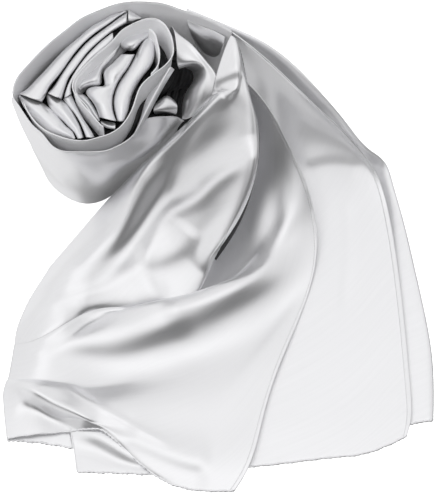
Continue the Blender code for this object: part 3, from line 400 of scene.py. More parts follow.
# The folds that stand in the roll, side by side. Each is a rounded band between two lines, its
# upper-left edge and its lower-right edge. Columns of a fold: its node, how high its edges lie, how
# far it rises between them, how square its section is, its two edges.
FOLDS = {
    "pleat_1": ("pleat_upper_outer", 134, 8, 2.2, (
        (19.5, 93.6), (25.0, 90.5), (32.0, 84.0), (48.0, 67.0), (67.0, 47.0), (81.0, 35.4), (96.0, 23.5),
        (103.0, 20.0), (110.0, 15.5), (118.0, 12.5), (127.5, 8.5)), (
        (42.5, 102.0), (45.0, 97.0), (48.0, 90.0), (57.0, 78.0), (72.0, 57.0), (86.0, 41.0), (95.0, 33.5),
        (103.0, 27.7), (112.0, 21.5), (120.0, 15.5), (127.5, 11.5))),
    "pleat_2": ("pleat_upper_middle", 134, 8, 2.2, (
        (47.5, 93.2), (52.0, 88.5), (58.5, 79.0), (66.0, 67.5), (73.5, 57.5), (87.5, 41.8), (104.5, 28.5),
        (114.0, 21.5), (121.0, 16.5), (127.0, 12.5)), (
        (62.0, 99.0), (64.0, 92.0), (66.5, 84.0), (69.5, 77.0), (73.5, 71.5), (86.5, 54.0), (100.5, 40.5),
        (112.0, 31.6), (119.0, 27.5), (127.0, 23.0))),
    "pleat_3": ("pleat_upper_inner", 136, 7, 2.2, (
        (64.0, 97.5), (66.0, 90.0), (68.5, 83.5), (74.5, 72.5), (87.5, 55.0), (101.0, 41.5),
        (106.5, 37.0), (112.5, 32.5)), (
        (71.5, 94.0), (71.0, 87.0), (74.0, 78.5), (82.5, 68.0), (93.5, 56.8), (104.5, 48.0),
        (109.0, 44.0), (113.5, 39.0))),
    "pleat_4": ("pleat_lower_outer", 132, 9, 1.5, (
        (19.5, 94.6), (33.0, 97.6), (42.0, 102.4), (52.0, 110.0), (60.0, 118.5), (66.5, 126.0),
        (72.5, 131.5), (75.5, 138.5)), (
        (18.5, 96.0), (23.0, 105.5), (29.0, 114.5), (37.0, 122.5), (47.0, 131.5), (56.0, 135.5),
        (64.0, 137.5), (73.0, 139.5))),
    "pleat_5": ("pleat_lower_middle", 132, 9, 1.5, (
        (47.5, 94.0), (54.0, 95.6), (61.5, 99.4), (68.5, 106.0), (75.0, 116.0), (80.0, 126.0),
        (83.5, 137.5)), (
        (46.5, 95.5), (47.5, 103.0), (53.5, 112.5), (61.5, 120.0), (69.0, 127.5), (74.0, 132.5),
        (77.5, 139.0))),
    "pleat_6": ("pleat_lower_inner", 133, 9, 1.6, (
        (63.0, 99.0), (66.5, 104.0), (72.0, 110.5), (78.0, 119.0), (82.0, 127.0), (86.0, 137.5)), (
        (71.5, 94.5), (74.0, 100.5), (79.0, 111.0), (85.0, 121.5), (90.0, 129.0), (94.5, 137.0))),
    "core_sheet": ("core_fold_side", 133, 12, 1.9, (
        (121.0, 54.0), (117.0, 58.5), (110.0, 65.0), (104.5, 70.5), (103.5, 77.0), (104.0, 85.5),
        (94.0, 86.5), (86.0, 91.3), (92.0, 101.5), (96.5, 109.5), (99.5, 117.5)), (
        (135.0, 54.5), (132.0, 60.5), (129.0, 66.5), (123.5, 74.5), (118.5, 82.0), (115.5, 88.5),
        (113.3, 95.5), (112.5, 103.0), (113.0, 109.5), (114.5, 115.5), (116.5, 121.0))),
    "core_front": ("core_fold_front", 132, 14, 1.8, (
        (152.5, 34.6), (143.5, 41.0), (138.0, 50.0), (130.5, 65.0), (119.5, 82.0), (114.5, 94.0),
        (113.5, 105.0), (117.5, 121.5)), (
        (153.5, 37.0), (154.6, 48.0), (152.0, 64.5), (144.5, 74.8), (136.8, 86.0), (131.0, 99.0),
        (128.0, 111.0), (124.0, 121.0))),
    "core_back": ("core_fold_back", 132, 12, 1.6, (
        (121.0, 39.5), (126.0, 36.5), (132.0, 34.5), (139.0, 33.0), (146.0, 32.8), (153.5, 33.8)), (
        (120.5, 46.5), (124.5, 49.5), (129.0, 51.0), (134.5, 50.0), (140.0, 44.0), (152.0, 35.4))),
    "core_left": ("core_fold_left", 131, 9, 1.5, (
        (121.0, 40.0), (114.0, 45.5), (107.4, 51.0), (98.3, 62.0), (90.6, 70.4), (83.0, 76.0),
        (77.0, 80.0), (76.2, 85.0)), (
        (120.8, 46.0), (117.0, 53.5), (109.5, 62.5), (103.0, 70.0), (101.8, 78.0), (101.0, 84.0),
        (91.0, 86.5), (81.0, 91.0))),
    "core_leaf": (None, 131, 10, 1.5, (
        (77.0, 93.2), (84.5, 94.8), (92.0, 103.0), (96.5, 111.0), (100.5, 119.5)), (
        (76.0, 94.4), (80.0, 100.0), (87.0, 107.0), (92.0, 114.5), (99.0, 121.5))),
    "core_low": (None, 130, 8, 2.0, (
        (100.5, 120.5), (105.5, 120.8), (110.5, 121.6), (115.5, 123.2)), (
        (101.5, 124.5), (105.5, 127.5), (110.0, 129.0), (115.0, 129.5))),
    "white_corner": (None, 136, 9, 2.0, (
        (128.5, 9.4), (132.5, 12.2), (137.0, 15.0), (141.5, 17.8)), (
        (128.3, 21.5), (131.5, 21.8), (135.0, 20.6), (140.0, 18.8))),
}

# The second turn inside the wound band: its upper edge, on the left and on the right. Its foot leans in
# by a share of the way to the band's middle.
SECOND_TURN_LEAN = 0.05
SECOND_TURN = (
    (101.0, 51.5, 147), (90.6, 62.8, 147), (83.0, 71.2, 147), (76.8, 78.9, 147), (74.8, 84.5, 147),
    (75.7, 92.6, 147),
    (80.5, 99.8, 147), (86.8, 106.6, 146), (91.0, 113.3, 146), (96.0, 120.2, 146), (103.0, 127.0, 146),
)
SECOND_TURN_RIGHT = (
    (149.5, 28.6, 147), (154.1, 32.8, 147), (157.0, 40.5, 147), (159.2, 50.0, 147), (159.4, 58.0, 147),
    (157.8, 65.5, 147), (151.5, 73.6, 147),
)

# The wide fold to the right of the core: behind its outer edge, its outer edge, its face, its lip, and the
# face that turns under into the pocket.
FOLD_A = (
    ((170.0, 33.0, 128), (182.0, 42.0, 126), (192.0, 50.0, 122), (201.0, 60.0, 118), (209.0, 73.0, 112),
     (212.0, 90.0, 104), (205.0, 103.0, 96)),
    ((173.5, 29.0, 144), (182.0, 37.5, 145), (191.0, 44.5, 143), (200.0, 54.0, 140), (209.5, 65.5, 136),
     (216.6, 77.3, 132.4), (216.5, 93.3, 121), (211.0, 104.0, 108)),
    ((176.5, 46.0, 147), (186.0, 50.0, 143), (197.0, 57.5, 139), (206.0, 67.0, 135), (211.0, 79.0, 130),
     (211.0, 95.0, 121), (203.0, 111.0, 104)),
    ((177.0, 61.0, 138), (185.0, 62.0, 138), (196.0, 62.0, 138), (204.0, 68.0, 134), (206.0, 80.0, 129),
     (203.0, 97.0, 119), (194.0, 116.0, 101)),
    ((179.0, 69.0, 126), (188.0, 67.0, 124), (196.0, 69.0, 122), (199.0, 76.0, 122), (195.0, 86.0, 120),
     (189.0, 101.0, 110), (186.0, 119.0, 96)),
    ((178.0, 66.0, 112), (186.0, 68.0, 110), (192.0, 72.0, 108), (193.0, 80.0, 106), (187.0, 90.0, 102),
     (182.5, 103.0, 97), (182.0, 119.0, 93)),
)

# The sag of cloth between the far wall and the peak of the drape.
FOLD_C = (
    ((187.0, 20.5, 137), (197.0, 24.5, 136), (206.0, 28.0, 136), (215.0, 31.5, 137), (225.0, 37.0, 138)),
    ((188.5, 27.0, 132), (198.0, 32.5, 130), (207.0, 36.5, 129), (215.5, 39.0, 131), (224.0, 42.0, 134)),
    ((190.5, 33.0, 125), (200.0, 40.5, 121), (208.5, 44.5, 119), (216.0, 46.0, 122), (222.5, 47.0, 128)),
    ((196.0, 45.0, 102), (204.0, 53.0, 98), (210.0, 56.0, 97), (214.0, 57.0, 100), (219.0, 55.0, 110)),
)

# The round fold low in the pocket: behind, top, front, foot.
POCKET_FOLD = (
    ((159.0, 103.0, 97), (168.0, 98.0, 97), (175.0, 101.0, 97)),
    ((155.0, 104.5, 106), (167.0, 97.5, 108), (177.0, 105.0, 103)),
    ((153.5, 112.0, 104), (165.0, 110.0, 104), (177.0, 112.0, 98)),
    ((156.0, 114.5, 96), (165.0, 113.5, 94), (175.0, 115.0, 92.5)),
)

# The small folds of each cloth: kind, height in millimetres, half width in view points, line.
FAR_WALL_FOLDS = (
    ("ridge", 1.2, 5.0, ((124.0, 7.0), (146.0, 13.0), (172.0, 17.0), (196.0, 23.0))),
)
NEAR_WALL_FOLDS = (
    ("ridge", 1.5, 4.0, ((50.0, 150.0), (71.0, 155.0), (89.0, 155.0), (110.0, 152.0), (133.0, 140.0))),
    ("step", 1.2, 5.0, ((62.0, 174.0), (89.0, 179.0), (118.0, 181.0))),
    ("step", 2.2, 5.0, ((98.0, 171.0), (128.0, 160.0), (147.0, 151.0), (163.0, 141.0), (180.0, 123.0))),
)
MIDDLE_FOLDS = (
    ("step", 1.4, 6.0, ((300.0, 168.0), (330.0, 160.0), (365.0, 165.0))),
    ("ridge", -0.9, 6.0, ((347.0, 196.0), (348.0, 240.0), (346.0, 280.0), (343.0, 318.0))),
    ("ridge", 0.5, 4.0, ((272.0, 78.0), (291.0, 96.0), (308.0, 116.0), (322.0, 128.0))),
)
DRAPE_FOLDS = (
    ("ridge", 2.0, 6.0, ((108.0, 222.0), (121.0, 202.0), (140.0, 171.0), (166.0, 146.0), (196.0, 118.0),
                         (224.0, 91.0), (236.0, 80.0))),
    ("ridge", 2.4, 9.0, ((134.0, 279.0), (143.0, 259.0), (153.0, 238.0), (172.0, 212.0), (200.0, 197.0),
                         (212.0, 185.0), (234.0, 168.0), (250.0, 150.0))),
    ("step", 3.4, 13.0, ((92.0, 274.0), (115.0, 250.0), (134.0, 226.0), (153.0, 196.0), (176.0, 166.0),
                         (206.0, 136.0), (236.0, 108.0))),
    ("step", 4.4, 13.0, ((52.0, 296.0), (84.0, 282.0), (100.0, 268.0), (115.0, 250.0), (134.0, 226.0),
                         (160.0, 190.0), (180.0, 164.0))),
    ("step", 2.0, 11.0, ((44.0, 288.0), (74.0, 282.0), (97.0, 279.0), (124.0, 279.0), (150.0, 277.0))),
    ("step", 2.6, 10.0, ((140.0, 272.0), (160.0, 264.0), (172.0, 259.0), (188.0, 250.0), (204.0, 232.0))),
    ("ridge", 10.0, 14.0, ((198.0, 272.0), (212.0, 256.0), (226.0, 236.0), (241.0, 212.0), (252.0, 189.0),
                          (258.0, 168.0), (260.0, 150.0), (258.0, 132.0))),
    ("step", 3.0, 6.0, ((212.0, 88.0), (220.0, 82.0), (228.0, 78.0), (236.0, 75.0), (244.0, 73.0))),
)
FRONT_FOLDS = (
    ("step", 2.0, 16.0, ((44.0, 338.0), (75.0, 346.0), (98.0, 350.0), (118.0, 349.0), (150.0, 341.0),
                         (172.0, 332.0), (200.0, 321.0), (230.0, 309.0), (262.0, 292.0), (290.0, 276.0),
                         (312.0, 258.0))),
    ("step", 3.0, 14.0, ((40.0, 338.0), (72.0, 347.0), (98.0, 352.0), (122.0, 350.0), (146.0, 342.0),
                         (172.0, 332.0), (200.0, 321.0))),
    ("ridge", 1.5, 7.0, ((140.0, 316.0), (160.0, 311.0), (192.0, 303.5), (234.0, 287.0), (269.0, 259.0),
                         (284.0, 230.0), (299.0, 198.0))),
    ("step", 4.0, 10.0, ((66.0, 306.0), (92.0, 311.0), (116.0, 311.0), (148.0, 305.0), (176.0, 296.0))),
    ("ridge", 2.0, 5.0, ((12.0, 384.0), (36.0, 393.0), (54.5, 403.0), (69.0, 409.0), (86.0, 419.0),
                         (104.0, 430.0))),
    ("step", 3.4, 6.0, ((18.0, 398.0), (36.0, 406.0), (54.0, 415.0), (74.0, 425.0), (92.0, 434.0))),
    ("ridge", 1.4, 4.0, ((60.0, 380.0), (86.0, 398.0), (108.0, 411.0), (129.0, 423.5), (151.0, 435.0),
                         (175.0, 447.0))),
    ("step", 3.6, 9.0, ((118.0, 434.0), (142.0, 448.0), (164.0, 458.0), (188.0, 466.0), (214.0, 470.0))),
)


def seen(across, down, height):
    """The place, in metres, of a point seen across and down the view, at a height in millimetres."""
    ray = (
        FORWARD * EYE_DISTANCE
        + RIGHT * (across - VIEW_ACROSS / 2) * VIEW_POINT
        + UP * (VIEW_DOWN / 2 - down) * VIEW_POINT
    )
    reach = (height * MM - EYE[2]) / ray[2]
    return EYE + ray * reach


def in_view(points):
    """How far across and down the view places in metres are seen."""
    away = points - EYE
    depth = away @ FORWARD
    across = (away @ RIGHT) / depth * EYE_DISTANCE / VIEW_POINT + VIEW_ACROSS / 2
    down = VIEW_DOWN / 2 - (away @ UP) / depth * EYE_DISTANCE / VIEW_POINT
    return np.stack([across, down], axis=-1)


def place(points):
    """The places in metres of points that are given as seen."""
    return np.array([seen(*point) for point in points])


def on_view(points, heights):
    """Places in metres of points across and down the view, at heights in millimetres."""
    ray = (
        FORWARD * EYE_DISTANCE
        + RIGHT * ((points[..., :1] - VIEW_ACROSS / 2) * VIEW_POINT)
        + UP * ((VIEW_DOWN / 2 - points[..., 1:2]) * VIEW_POINT)
    )
    reach = (np.asarray(heights)[..., None] * MM - EYE[2]) / ray[..., 2:3]
    return EYE + ray * reach


def spline(knots, values, wanted):
    """A natural cubic spline through values at knots, read at the wanted places."""
    count = len(knots)
    if count == 2:
        share = (wanted - knots[0]) / (knots[1] - knots[0])
        return values[0] + share[:, None] * (values[1] - values[0])
    step = np.diff(knots)
    slope = np.diff(values, axis=0) / step[:, None]
    matrix = np.eye(count)
    right = np.zeros_like(values)
    for i in range(1, count - 1):
        matrix[i, i - 1] = step[i - 1]
        matrix[i, i] = 2 * (step[i - 1] + step[i])
        matrix[i, i + 1] = step[i]
        right[i] = 6 * (slope[i] - slope[i - 1])
    bend = np.linalg.solve(matrix, right)
    part = np.clip(np.searchsorted(knots, wanted, side="right") - 1, 0, count - 2)
    h = step[part][:, None]
    a = (knots[part + 1] - wanted)[:, None]
    b = (wanted - knots[part])[:, None]
    return (
        bend[part] * a**3 / (6 * h)
        + bend[part + 1] * b**3 / (6 * h)
        + (values[part] / h - bend[part] * h / 6) * a
        + (values[part + 1] / h - bend[part + 1] * h / 6) * b
    )


def run(points):
    """How far each point lies along a line of points, from 0 to 1."""
    steps = np.linalg.norm(np.diff(points, axis=0), axis=1)
    along = np.concatenate([[0.0], np.cumsum(steps)])
    return along / along[-1]


def even(points, count):
    """A smooth line through the points, read at even distances."""
    dense = spline(run(points), points, np.linspace(0, 1, 20 * len(points)))
    along = run(dense)
    wanted = np.linspace(0, 1, count)
    return np.stack([np.interp(wanted, along, dense[:, k]) for k in range(3)], axis=1)


def flat_line(points, count):
    """A smooth line through points of the view, read at even distances."""
    points = np.array(points)
    return even(np.column_stack([points, np.zeros(len(points))]), count)[:, :2]


def resampled(line, pitch):
    """The points of a line at an even pitch."""
    along = np.concatenate([[0], np.cumsum(np.linalg.norm(np.diff(line, axis=0), axis=1))])
    wanted = np.arange(pitch / 2, along[-1], pitch)
    return np.stack([np.interp(wanted, along, line[:, c]) for c in range(3)], axis=1)


def surface(lines, stations, steps):
    """A grid of points on the smooth surface through the lines, given from side to side."""
    rows = np.array([even(line, stations) for line in lines])
    knots = np.mean([run(rows[:, k]) for k in range(stations)], axis=0)
    wanted = np.linspace(0, 1, steps)
    return np.stack([spline(knots, rows[:, k], wanted) for k in range(stations)], axis=1)


def net_surface(rows, stations, steps):
    """As surface(), for rows whose points stand in columns, which the surface keeps."""
    rows = np.array(rows)
    columns = np.mean([run(row) for row in rows], axis=0)
    wanted = np.linspace(0, 1, stations)
    rows = np.array([spline(columns, row, wanted) for row in rows])
    return rows_along(rows, steps)


def rows_along(rows, steps):
    """A grid through rows that have the same number of points, drawn on between the rows only."""
    rows = np.array(rows)
    columns = range(rows.shape[1])
    knots = np.mean([run(rows[:, k]) for k in columns], axis=0)
    return np.stack([spline(knots, rows[:, k], np.linspace(0, 1, steps)) for k in columns], axis=1)


def normals(grid):
    """The direction that each point of a grid faces, on one side or the other."""
    along = np.gradient(grid, axis=1)
    over = np.gradient(grid, axis=0)
    cross = np.cross(along, over)
    return cross / np.maximum(np.linalg.norm(cross, axis=2), 1e-12)[:, :, None]


def facing_out(grid, faces):
    """The normals of a grid, turned up, or out from the middle of the roll."""
    facing = normals(grid)
    away = grid - seen(*ROLL_MIDDLE)
    away[:, :, 2] = 0.0
    outward = facing[:, :, 2] if faces == "up" else (facing * away).sum(axis=2)
    return -facing if outward.sum() < 0 else facing


def arc(grid, axis):
    """Metres along the cloth at each grid point, from the first row or column."""
    steps = np.linalg.norm(np.diff(grid, axis=axis), axis=2)
    pad = [(1, 0), (0, 0)] if axis == 0 else [(0, 0), (1, 0)]
    return np.cumsum(np.pad(steps, pad), axis=axis)


def mix_colour(nodes, links, low, high, share):
    """A colour between two others, by a share that another node gives."""
    mix = nodes.new("ShaderNodeMix")
    mix.data_type = "RGBA"
    mix.inputs["A"].default_value = (*low, 1.0)
    mix.inputs["B"].default_value = (*high, 1.0)
    links.new(share, mix.inputs["Factor"])
    return mix.outputs["Result"]


def streaks(nodes, links, where, scale, detail, roughness):
    """Noise that is drawn out along the cloth."""
    at = nodes.new("ShaderNodeMapping")
    at.inputs["Scale"].default_value = scale
    links.new(where, at.inputs["Vector"])
    noise = nodes.new("ShaderNodeTexNoise")
    noise.inputs["Scale"].default_value = 1.0
    noise.inputs["Detail"].default_value = detail
    noise.inputs["Roughness"].default_value = roughness
    links.new(at.outputs["Vector"], noise.inputs["Vector"])
    return noise.outputs["Fac"]


def satin(name, light, dark, roughness, metallic, weave_depth):
    """Satin: fine crosswise threads and soft slubs, laid out on the cloth's own map."""
    made = bpy.data.materials.new(name)
    made.use_nodes = True
    nodes, links = made.node_tree.nodes, made.node_tree.links
    shader = nodes["Principled BSDF"]
    shader.inputs["Metallic"].default_value = metallic
    where = nodes.new("ShaderNodeUVMap")
    where.uv_map = "cloth"
    threads = streaks(nodes, links, where.outputs["UV"], THREAD_SCALE, 3.0, 0.6)
    slubs = streaks(nodes, links, where.outputs["UV"], SLUB_SCALE, 2.0, 0.5)
    links.new(mix_colour(nodes, links, dark, light, slubs), shader.inputs["Base Color"])
    rough = nodes.new("ShaderNodeMapRange")
    rough.inputs["To Min"].default_value = roughness - ROUGHNESS_SPREAD
    rough.inputs["To Max"].default_value = roughness + ROUGHNESS_SPREAD
    links.new(slubs, rough.inputs["Value"])
    links.new(rough.outputs["Result"], shader.inputs["Roughness"])
    bump = nodes.new("ShaderNodeBump")
    bump.inputs["Strength"].default_value = 1.0
    bump.inputs["Distance"].default_value = weave_depth
    links.new(threads, bump.inputs["Height"])
    links.new(bump.outputs["Normal"], shader.inputs["Normal"])
    return made


# The satin's shining face, the same face where it lies wide and smooth, its matt reverse, and sewing thread.
SATIN = satin("satin", (0.90, 0.90, 0.915), (0.85, 0.85, 0.865), 0.30, 0.82, 0.000010)
LAID = satin("satin_laid", (0.87, 0.87, 0.885), (0.82, 0.82, 0.835), 0.36, 0.42, 0.000012)
REVERSE = satin("satin_reverse", (0.93, 0.93, 0.945), (0.88, 0.88, 0.895), 0.42, 0.12, 0.00004)
THREAD = satin("thread", (0.86, 0.86, 0.87), (0.80, 0.80, 0.81), 0.45, 0.5, 0.00002)
# Painted shade: the same cloth coloured near black, where it lies deep in shade: the turns deep inside
# the roll, and the drape's edge where it turns in.
PAINTED_SHADE = satin("satin_painted_shade", (0.012, 0.012, 0.013), (0.008, 0.008, 0.009), 0.60, 0.0, 0.00003)


def finish(name, mesh, made_of, flat=()):
    """The mesh as a smooth piece of the scene, but for its flat faces."""
    for face in mesh.faces:
        face.smooth = True
    for face in flat:
        face.smooth = False
    if mesh.calc_volume(signed=True) < 0:
        bmesh.ops.reverse_faces(mesh, faces=mesh.faces[:])
    data = bpy.data.meshes.new(name)
    mesh.to_mesh(data)
    mesh.free()
    data.materials.append(made_of)
    made = bpy.data.objects.new(name, data)
    bpy.context.scene.collection.objects.link(made)
    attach(made, "root")
    return made


def shell(name, grid, faces="up", thick=CLOTH, made_of=SATIN):
    """A cloth shell: the grid is its outer face. Its map says where on the cloth a point lies."""
    outer = grid.copy()
    outer[:, :, 2] = np.maximum(outer[:, :, 2], thick)
    inner = outer - facing_out(outer, faces) * thick
    inner[:, :, 2] = np.maximum(inner[:, :, 2], 0.0)
    rows, columns = grid.shape[:2]
    across = arc(grid, 1)
    along = arc(grid, 0)
    mesh = bmesh.new()
    layer = mesh.loops.layers.uv.new("cloth")
    top = [[mesh.verts.new(outer[i, j]) for j in range(columns)] for i in range(rows)]
    low = [[mesh.verts.new(inner[i, j]) for j in range(columns)] for i in range(rows)]
    spots = {}
    for i in range(rows):
        for j in range(columns):
            spots[top[i][j]] = spots[low[i][j]] = (across[i, j], along[i, j])
    for i in range(rows - 1):
        for j in range(columns - 1):
            mesh.faces.new((top[i][j], top[i][j + 1], top[i + 1][j + 1], top[i + 1][j]))
            mesh.faces.new((low[i][j], low[i + 1][j], low[i + 1][j + 1], low[i][j + 1]))
    sides = []
    for i in range(rows - 1):
        sides.append(mesh.faces.new((top[i][0], top[i + 1][0], low[i + 1][0], low[i][0])))
        sides.append(mesh.faces.new((top[i + 1][-1], top[i][-1], low[i][-1], low[i + 1][-1])))
    for j in range(columns - 1):
        sides.append(mesh.faces.new((top[0][j + 1], top[0][j], low[0][j], low[0][j + 1])))
        sides.append(mesh.faces.new((top[-1][j], top[-1][j + 1], low[-1][j + 1], low[-1][j])))
    for face in mesh.faces:
        for loop in face.loops:
            loop[layer].uv = spots[loop.vert]
    return finish(name, mesh, made_of, sides)


def rolled_hem(name, line, radius, pucker=PUCKER, lowest=0.0):
    """A narrow rolled edge: a soft tube along a line, slightly puckered by its stitches."""
    spots = resampled(line, TUBE_STEP)
    ahead = np.gradient(spots, axis=0)
    ahead /= np.linalg.norm(ahead, axis=1)[:, None]
    up = np.array([0.0, 0.0, 1.0]) - ahead * ahead[:, 2:3]
    up /= np.linalg.norm(up, axis=1)[:, None]
    across = np.cross(ahead, up)
    along = np.arange(len(spots)) * TUBE_STEP
    swell = pucker * np.sin(along / SHORT_PUCKER) + pucker * 0.6 * np.sin(along / LONG_PUCKER + 2)
    thick = radius * (1 + swell)
    thick *= np.clip(np.minimum(along, along[-1] - along) / TUBE_END + 0.3, 0, 1)
    sway = radius * pucker * np.sin(along / SWAY + 1)
    mesh = bmesh.new()
    layer = mesh.loops.layers.uv.new("cloth")
    rings = []
    for k in range(len(spots)):
        ring = []
        for turn in np.linspace(0, 2 * math.pi, TUBE_SIDES, endpoint=False):
            out = across[k] * (math.cos(turn) * thick[k] + sway[k])
            at = spots[k] + out + up[k] * math.sin(turn) * thick[k]
            at[2] = max(at[2], lowest)
            ring.append(mesh.verts.new(at))
        rings.append(ring)
    for k, (one, other) in enumerate(zip(rings, rings[1:])):
        for s in range(TUBE_SIDES):
            after = (s + 1) % TUBE_SIDES
            face = mesh.faces.new((one[s], one[after], other[after], other[s]))
            for loop, (x, y) in zip(face.loops, ((s, k), (s + 1, k), (s + 1, k + 1), (s, k + 1))):
                loop[layer].uv = (x * 0.0006, y * TUBE_STEP)
    mesh.faces.new(rings[0][::-1])
    mesh.faces.new(rings[-1])
    return finish(name, mesh, SATIN)


def hem_strip(grid, facing):
    """The folded hem along the right side of a cloth: points from its edge inwards, raised a little."""
    lines = grid[:, ::-1]
    faces = facing[:, ::-1]
    steps = np.linalg.norm(np.diff(lines, axis=1), axis=2)
    inward = np.cumsum(np.pad(steps, [(0, 0), (1, 0)]), axis=1)
    along = np.concatenate([[0], np.cumsum(np.linalg.norm(np.diff(lines[:, 0], axis=0), axis=1))])
    strip = np.zeros((len(lines), len(HEM_SECTION), 3))
    for i in range(len(lines)):
        pucker = 1.0
        for swell, length, start in HEM_WAVES:
            pucker += swell * math.sin(along[i] / length + start)
        for k, (inset, height) in enumerate(HEM_SECTION):
            distance = inset * HEM_WIDTH
            at = [np.interp(distance, inward[i], lines[i, :, c]) for c in range(3)]
            out = [np.interp(distance, inward[i], faces[i, :, c]) for c in range(3)]
            strip[i, k] = np.array(at) + np.array(out) * (height * HEM_RISE) * pucker
    return strip


def stitches(name, line, out):
    """A row of small stitches along a line, each a short raised bead of thread."""
    places = resampled(line, STITCH_PITCH)
    outs = resampled(line + out * MM, STITCH_PITCH)
    ahead = np.gradient(places, axis=0)
    mesh = bmesh.new()
    layer = mesh.loops.layers.uv.new("cloth")
    for at, tip, way in zip(places, outs, ahead):
        way = way / np.linalg.norm(way)
        up = tip - at
        up = up / np.linalg.norm(up)
        across = np.cross(way, up)
        ends = []
        for end in (-1, 1):
            ends.append(mesh.verts.new(at + way * STITCH_LENGTH * end / 2))
        rings = []
        for end in (-1, 1):
            middle = at + way * STITCH_LENGTH * end / 2 * STITCH_SHOULDER
            rings.append([
                mesh.verts.new(middle + across * STITCH_HALF_WIDTH * x + up * STITCH_HEIGHT * y)
                for x, y in STITCH_SECTION
            ])
        for k in range(len(STITCH_SECTION) - 1):
            mesh.faces.new((rings[0][k], rings[0][k + 1], rings[1][k + 1], rings[1][k]))
            mesh.faces.new((ends[0], rings[0][k + 1], rings[0][k]))
            mesh.faces.new((ends[1], rings[1][k], rings[1][k + 1]))
        mesh.faces.new((ends[0], rings[0][0], rings[1][0], ends[1], rings[1][-1], rings[0][-1]))
    for face in mesh.faces:
        for loop in face.loops:
            loop[layer].uv = (loop.vert.co.x, loop.vert.co.y)
    return finish(name, mesh, THREAD)


def hems_of(name, grid):
    """The hem along the right side of a cloth, with its row of stitches."""
    strip = hem_strip(grid, facing_out(grid, "up"))
    hem = shell(name + "_hem", strip, thick=HEM_CLOTH)
    out = facing_out(strip, "up")
    return [hem, stitches(name + "_stitches", strip[:, -3], out[:, -3])]


def stand_in(piece, node):
    """Puts a cloth piece in the place of its solid."""
    if node:
        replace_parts(piece, node)


def relief(grid, features):
    """The grid with its small folds: ridges, and steps that fall from one side of their line to the other.

    A feature is its kind, its height in millimetres, its half width in view points, and its line. Points move
    along the line of sight, so that the outline and the fold lines keep their places.
    """
    where = in_view(grid)
    toward = np.zeros(where.shape[:2])
    for kind, height, width, line in features:
        line = flat_line(line, RELIEF_POINTS)
        start, step = line[:-1], np.diff(line, axis=0)
        size = (step**2).sum(axis=1)
        away = where[:, :, None, :] - start
        along = np.clip((away * step).sum(axis=3) / size, 0, 1)
        off = away - along[..., None] * step
        far = np.linalg.norm(off, axis=3)
        nearest = far.argmin(axis=2)
        pick = tuple(np.ogrid[:where.shape[0], :where.shape[1]]) + (nearest,)
        far = far[pick]
        side = (step[:, 0] * off[..., 1] - step[:, 1] * off[..., 0])[pick]
        share = (nearest + along[pick]) / len(step)
        ends = np.clip(np.minimum(share, 1 - share) / RELIEF_END, 0, 1)
        ends = ends * ends * (3 - 2 * ends)
        if kind == "ridge":
            toward += height * ends * np.exp(-((far / width) ** 2))
        else:
            fading = np.exp(-((far / (STEP_FADE * width)) ** 2))
            toward -= height * ends * np.tanh(np.sign(side) * far / width) * fading
    sight = EYE - grid
    sight /= np.linalg.norm(sight, axis=2)[:, :, None]
    return grid + sight * toward[:, :, None] * MM


def meet(lower, upper_edge):
    """The lower cloth moved so that the left part of its first row runs on from the upper cloth's edge."""
    edge = in_view(upper_edge)
    order = np.argsort(edge[:, 0])
    here = in_view(lower[0])[:, 0]
    goal = np.stack([np.interp(here, edge[order, 0], upper_edge[order, k]) for k in range(3)], axis=1)
    hold = np.clip((MEET_UNTIL - here) / MEET_END, 0, 1)[:, None]
    move = (goal - lower[0]) * hold
    fade = np.clip(1 - np.arange(len(lower)) / MEET_ROWS, 0, 1) ** 2
    return lower + fade[:, None, None] * move


def rounded_fold(one, other, edge, rise, square):
    """A rounded fold between two lines of the view, its sides turned under it down to the core."""
    stations, steps = ROUNDED_FOLD_GRID
    first = flat_line(one, stations)
    second = flat_line(other, stations)
    rises = np.minimum(rise, STEEPEST_RISE * np.linalg.norm(second - first, axis=1))
    rows = []
    for share in 0.5 - 0.5 * np.cos(np.linspace(0, math.pi, steps)):
        height = edge + rises * (1 - abs(2 * share - 1) ** square) ** (1 / square)
        rows.append(on_view(first * (1 - share) + second * share, height))
    before = []
    after = []
    for share, drop in TURNED_UNDER:
        height = np.full(stations, edge * (1 - drop) + ON_CORE / MM * drop)
        before.insert(0, on_view(first * (1 - share) + second * share, height))
        after.append(on_view(first * share + second * (1 - share), height))
    return np.array(before + rows + after)


def inside_wall(grid, far):
    """The grid kept on the inner side of the roll's far wall."""
    rim, foot = far[0], far[-1]
    kept = grid.copy()
    for point in kept.reshape(-1, 3):
        share = point[2] / rim[0, 2]
        wall = rim * share + foot * (1 - share)
        if wall[0, 0] < point[0] < wall[-1, 0]:
            point[1] = min(point[1], np.interp(point[0], wall[:, 0], wall[:, 1]) - WALL_CLEAR)
    return kept


def back_section(station):
    """A section of the back strip: what shows of it, its outer side, its fold on the table, its underside."""
    seen_points = place(station)
    top = spline(run(seen_points), seen_points, BACK_SHARES)
    edge = top[-1]
    lying = 1.0 - min(1.0, edge[2] / UNDERSIDE_FROM)
    foot = edge + np.array(FOOT_OUT)
    foot[2] = 0.0
    under = foot + np.array([-UNDERSIDE * lying, -UNDERSIDE_LEAST * (1.0 - lying), 0.0])
    shoulder = edge + np.array(SHOULDER_OUT)
    shoulder[2] = max(edge[2] - SHOULDER_DROP, edge[2] * SHOULDER_LEAST)
    side = edge + np.array(SIDE_OUT)
    side[2] = edge[2] * SIDE_HEIGHT
    return np.vstack([top, shoulder, side, foot, under])


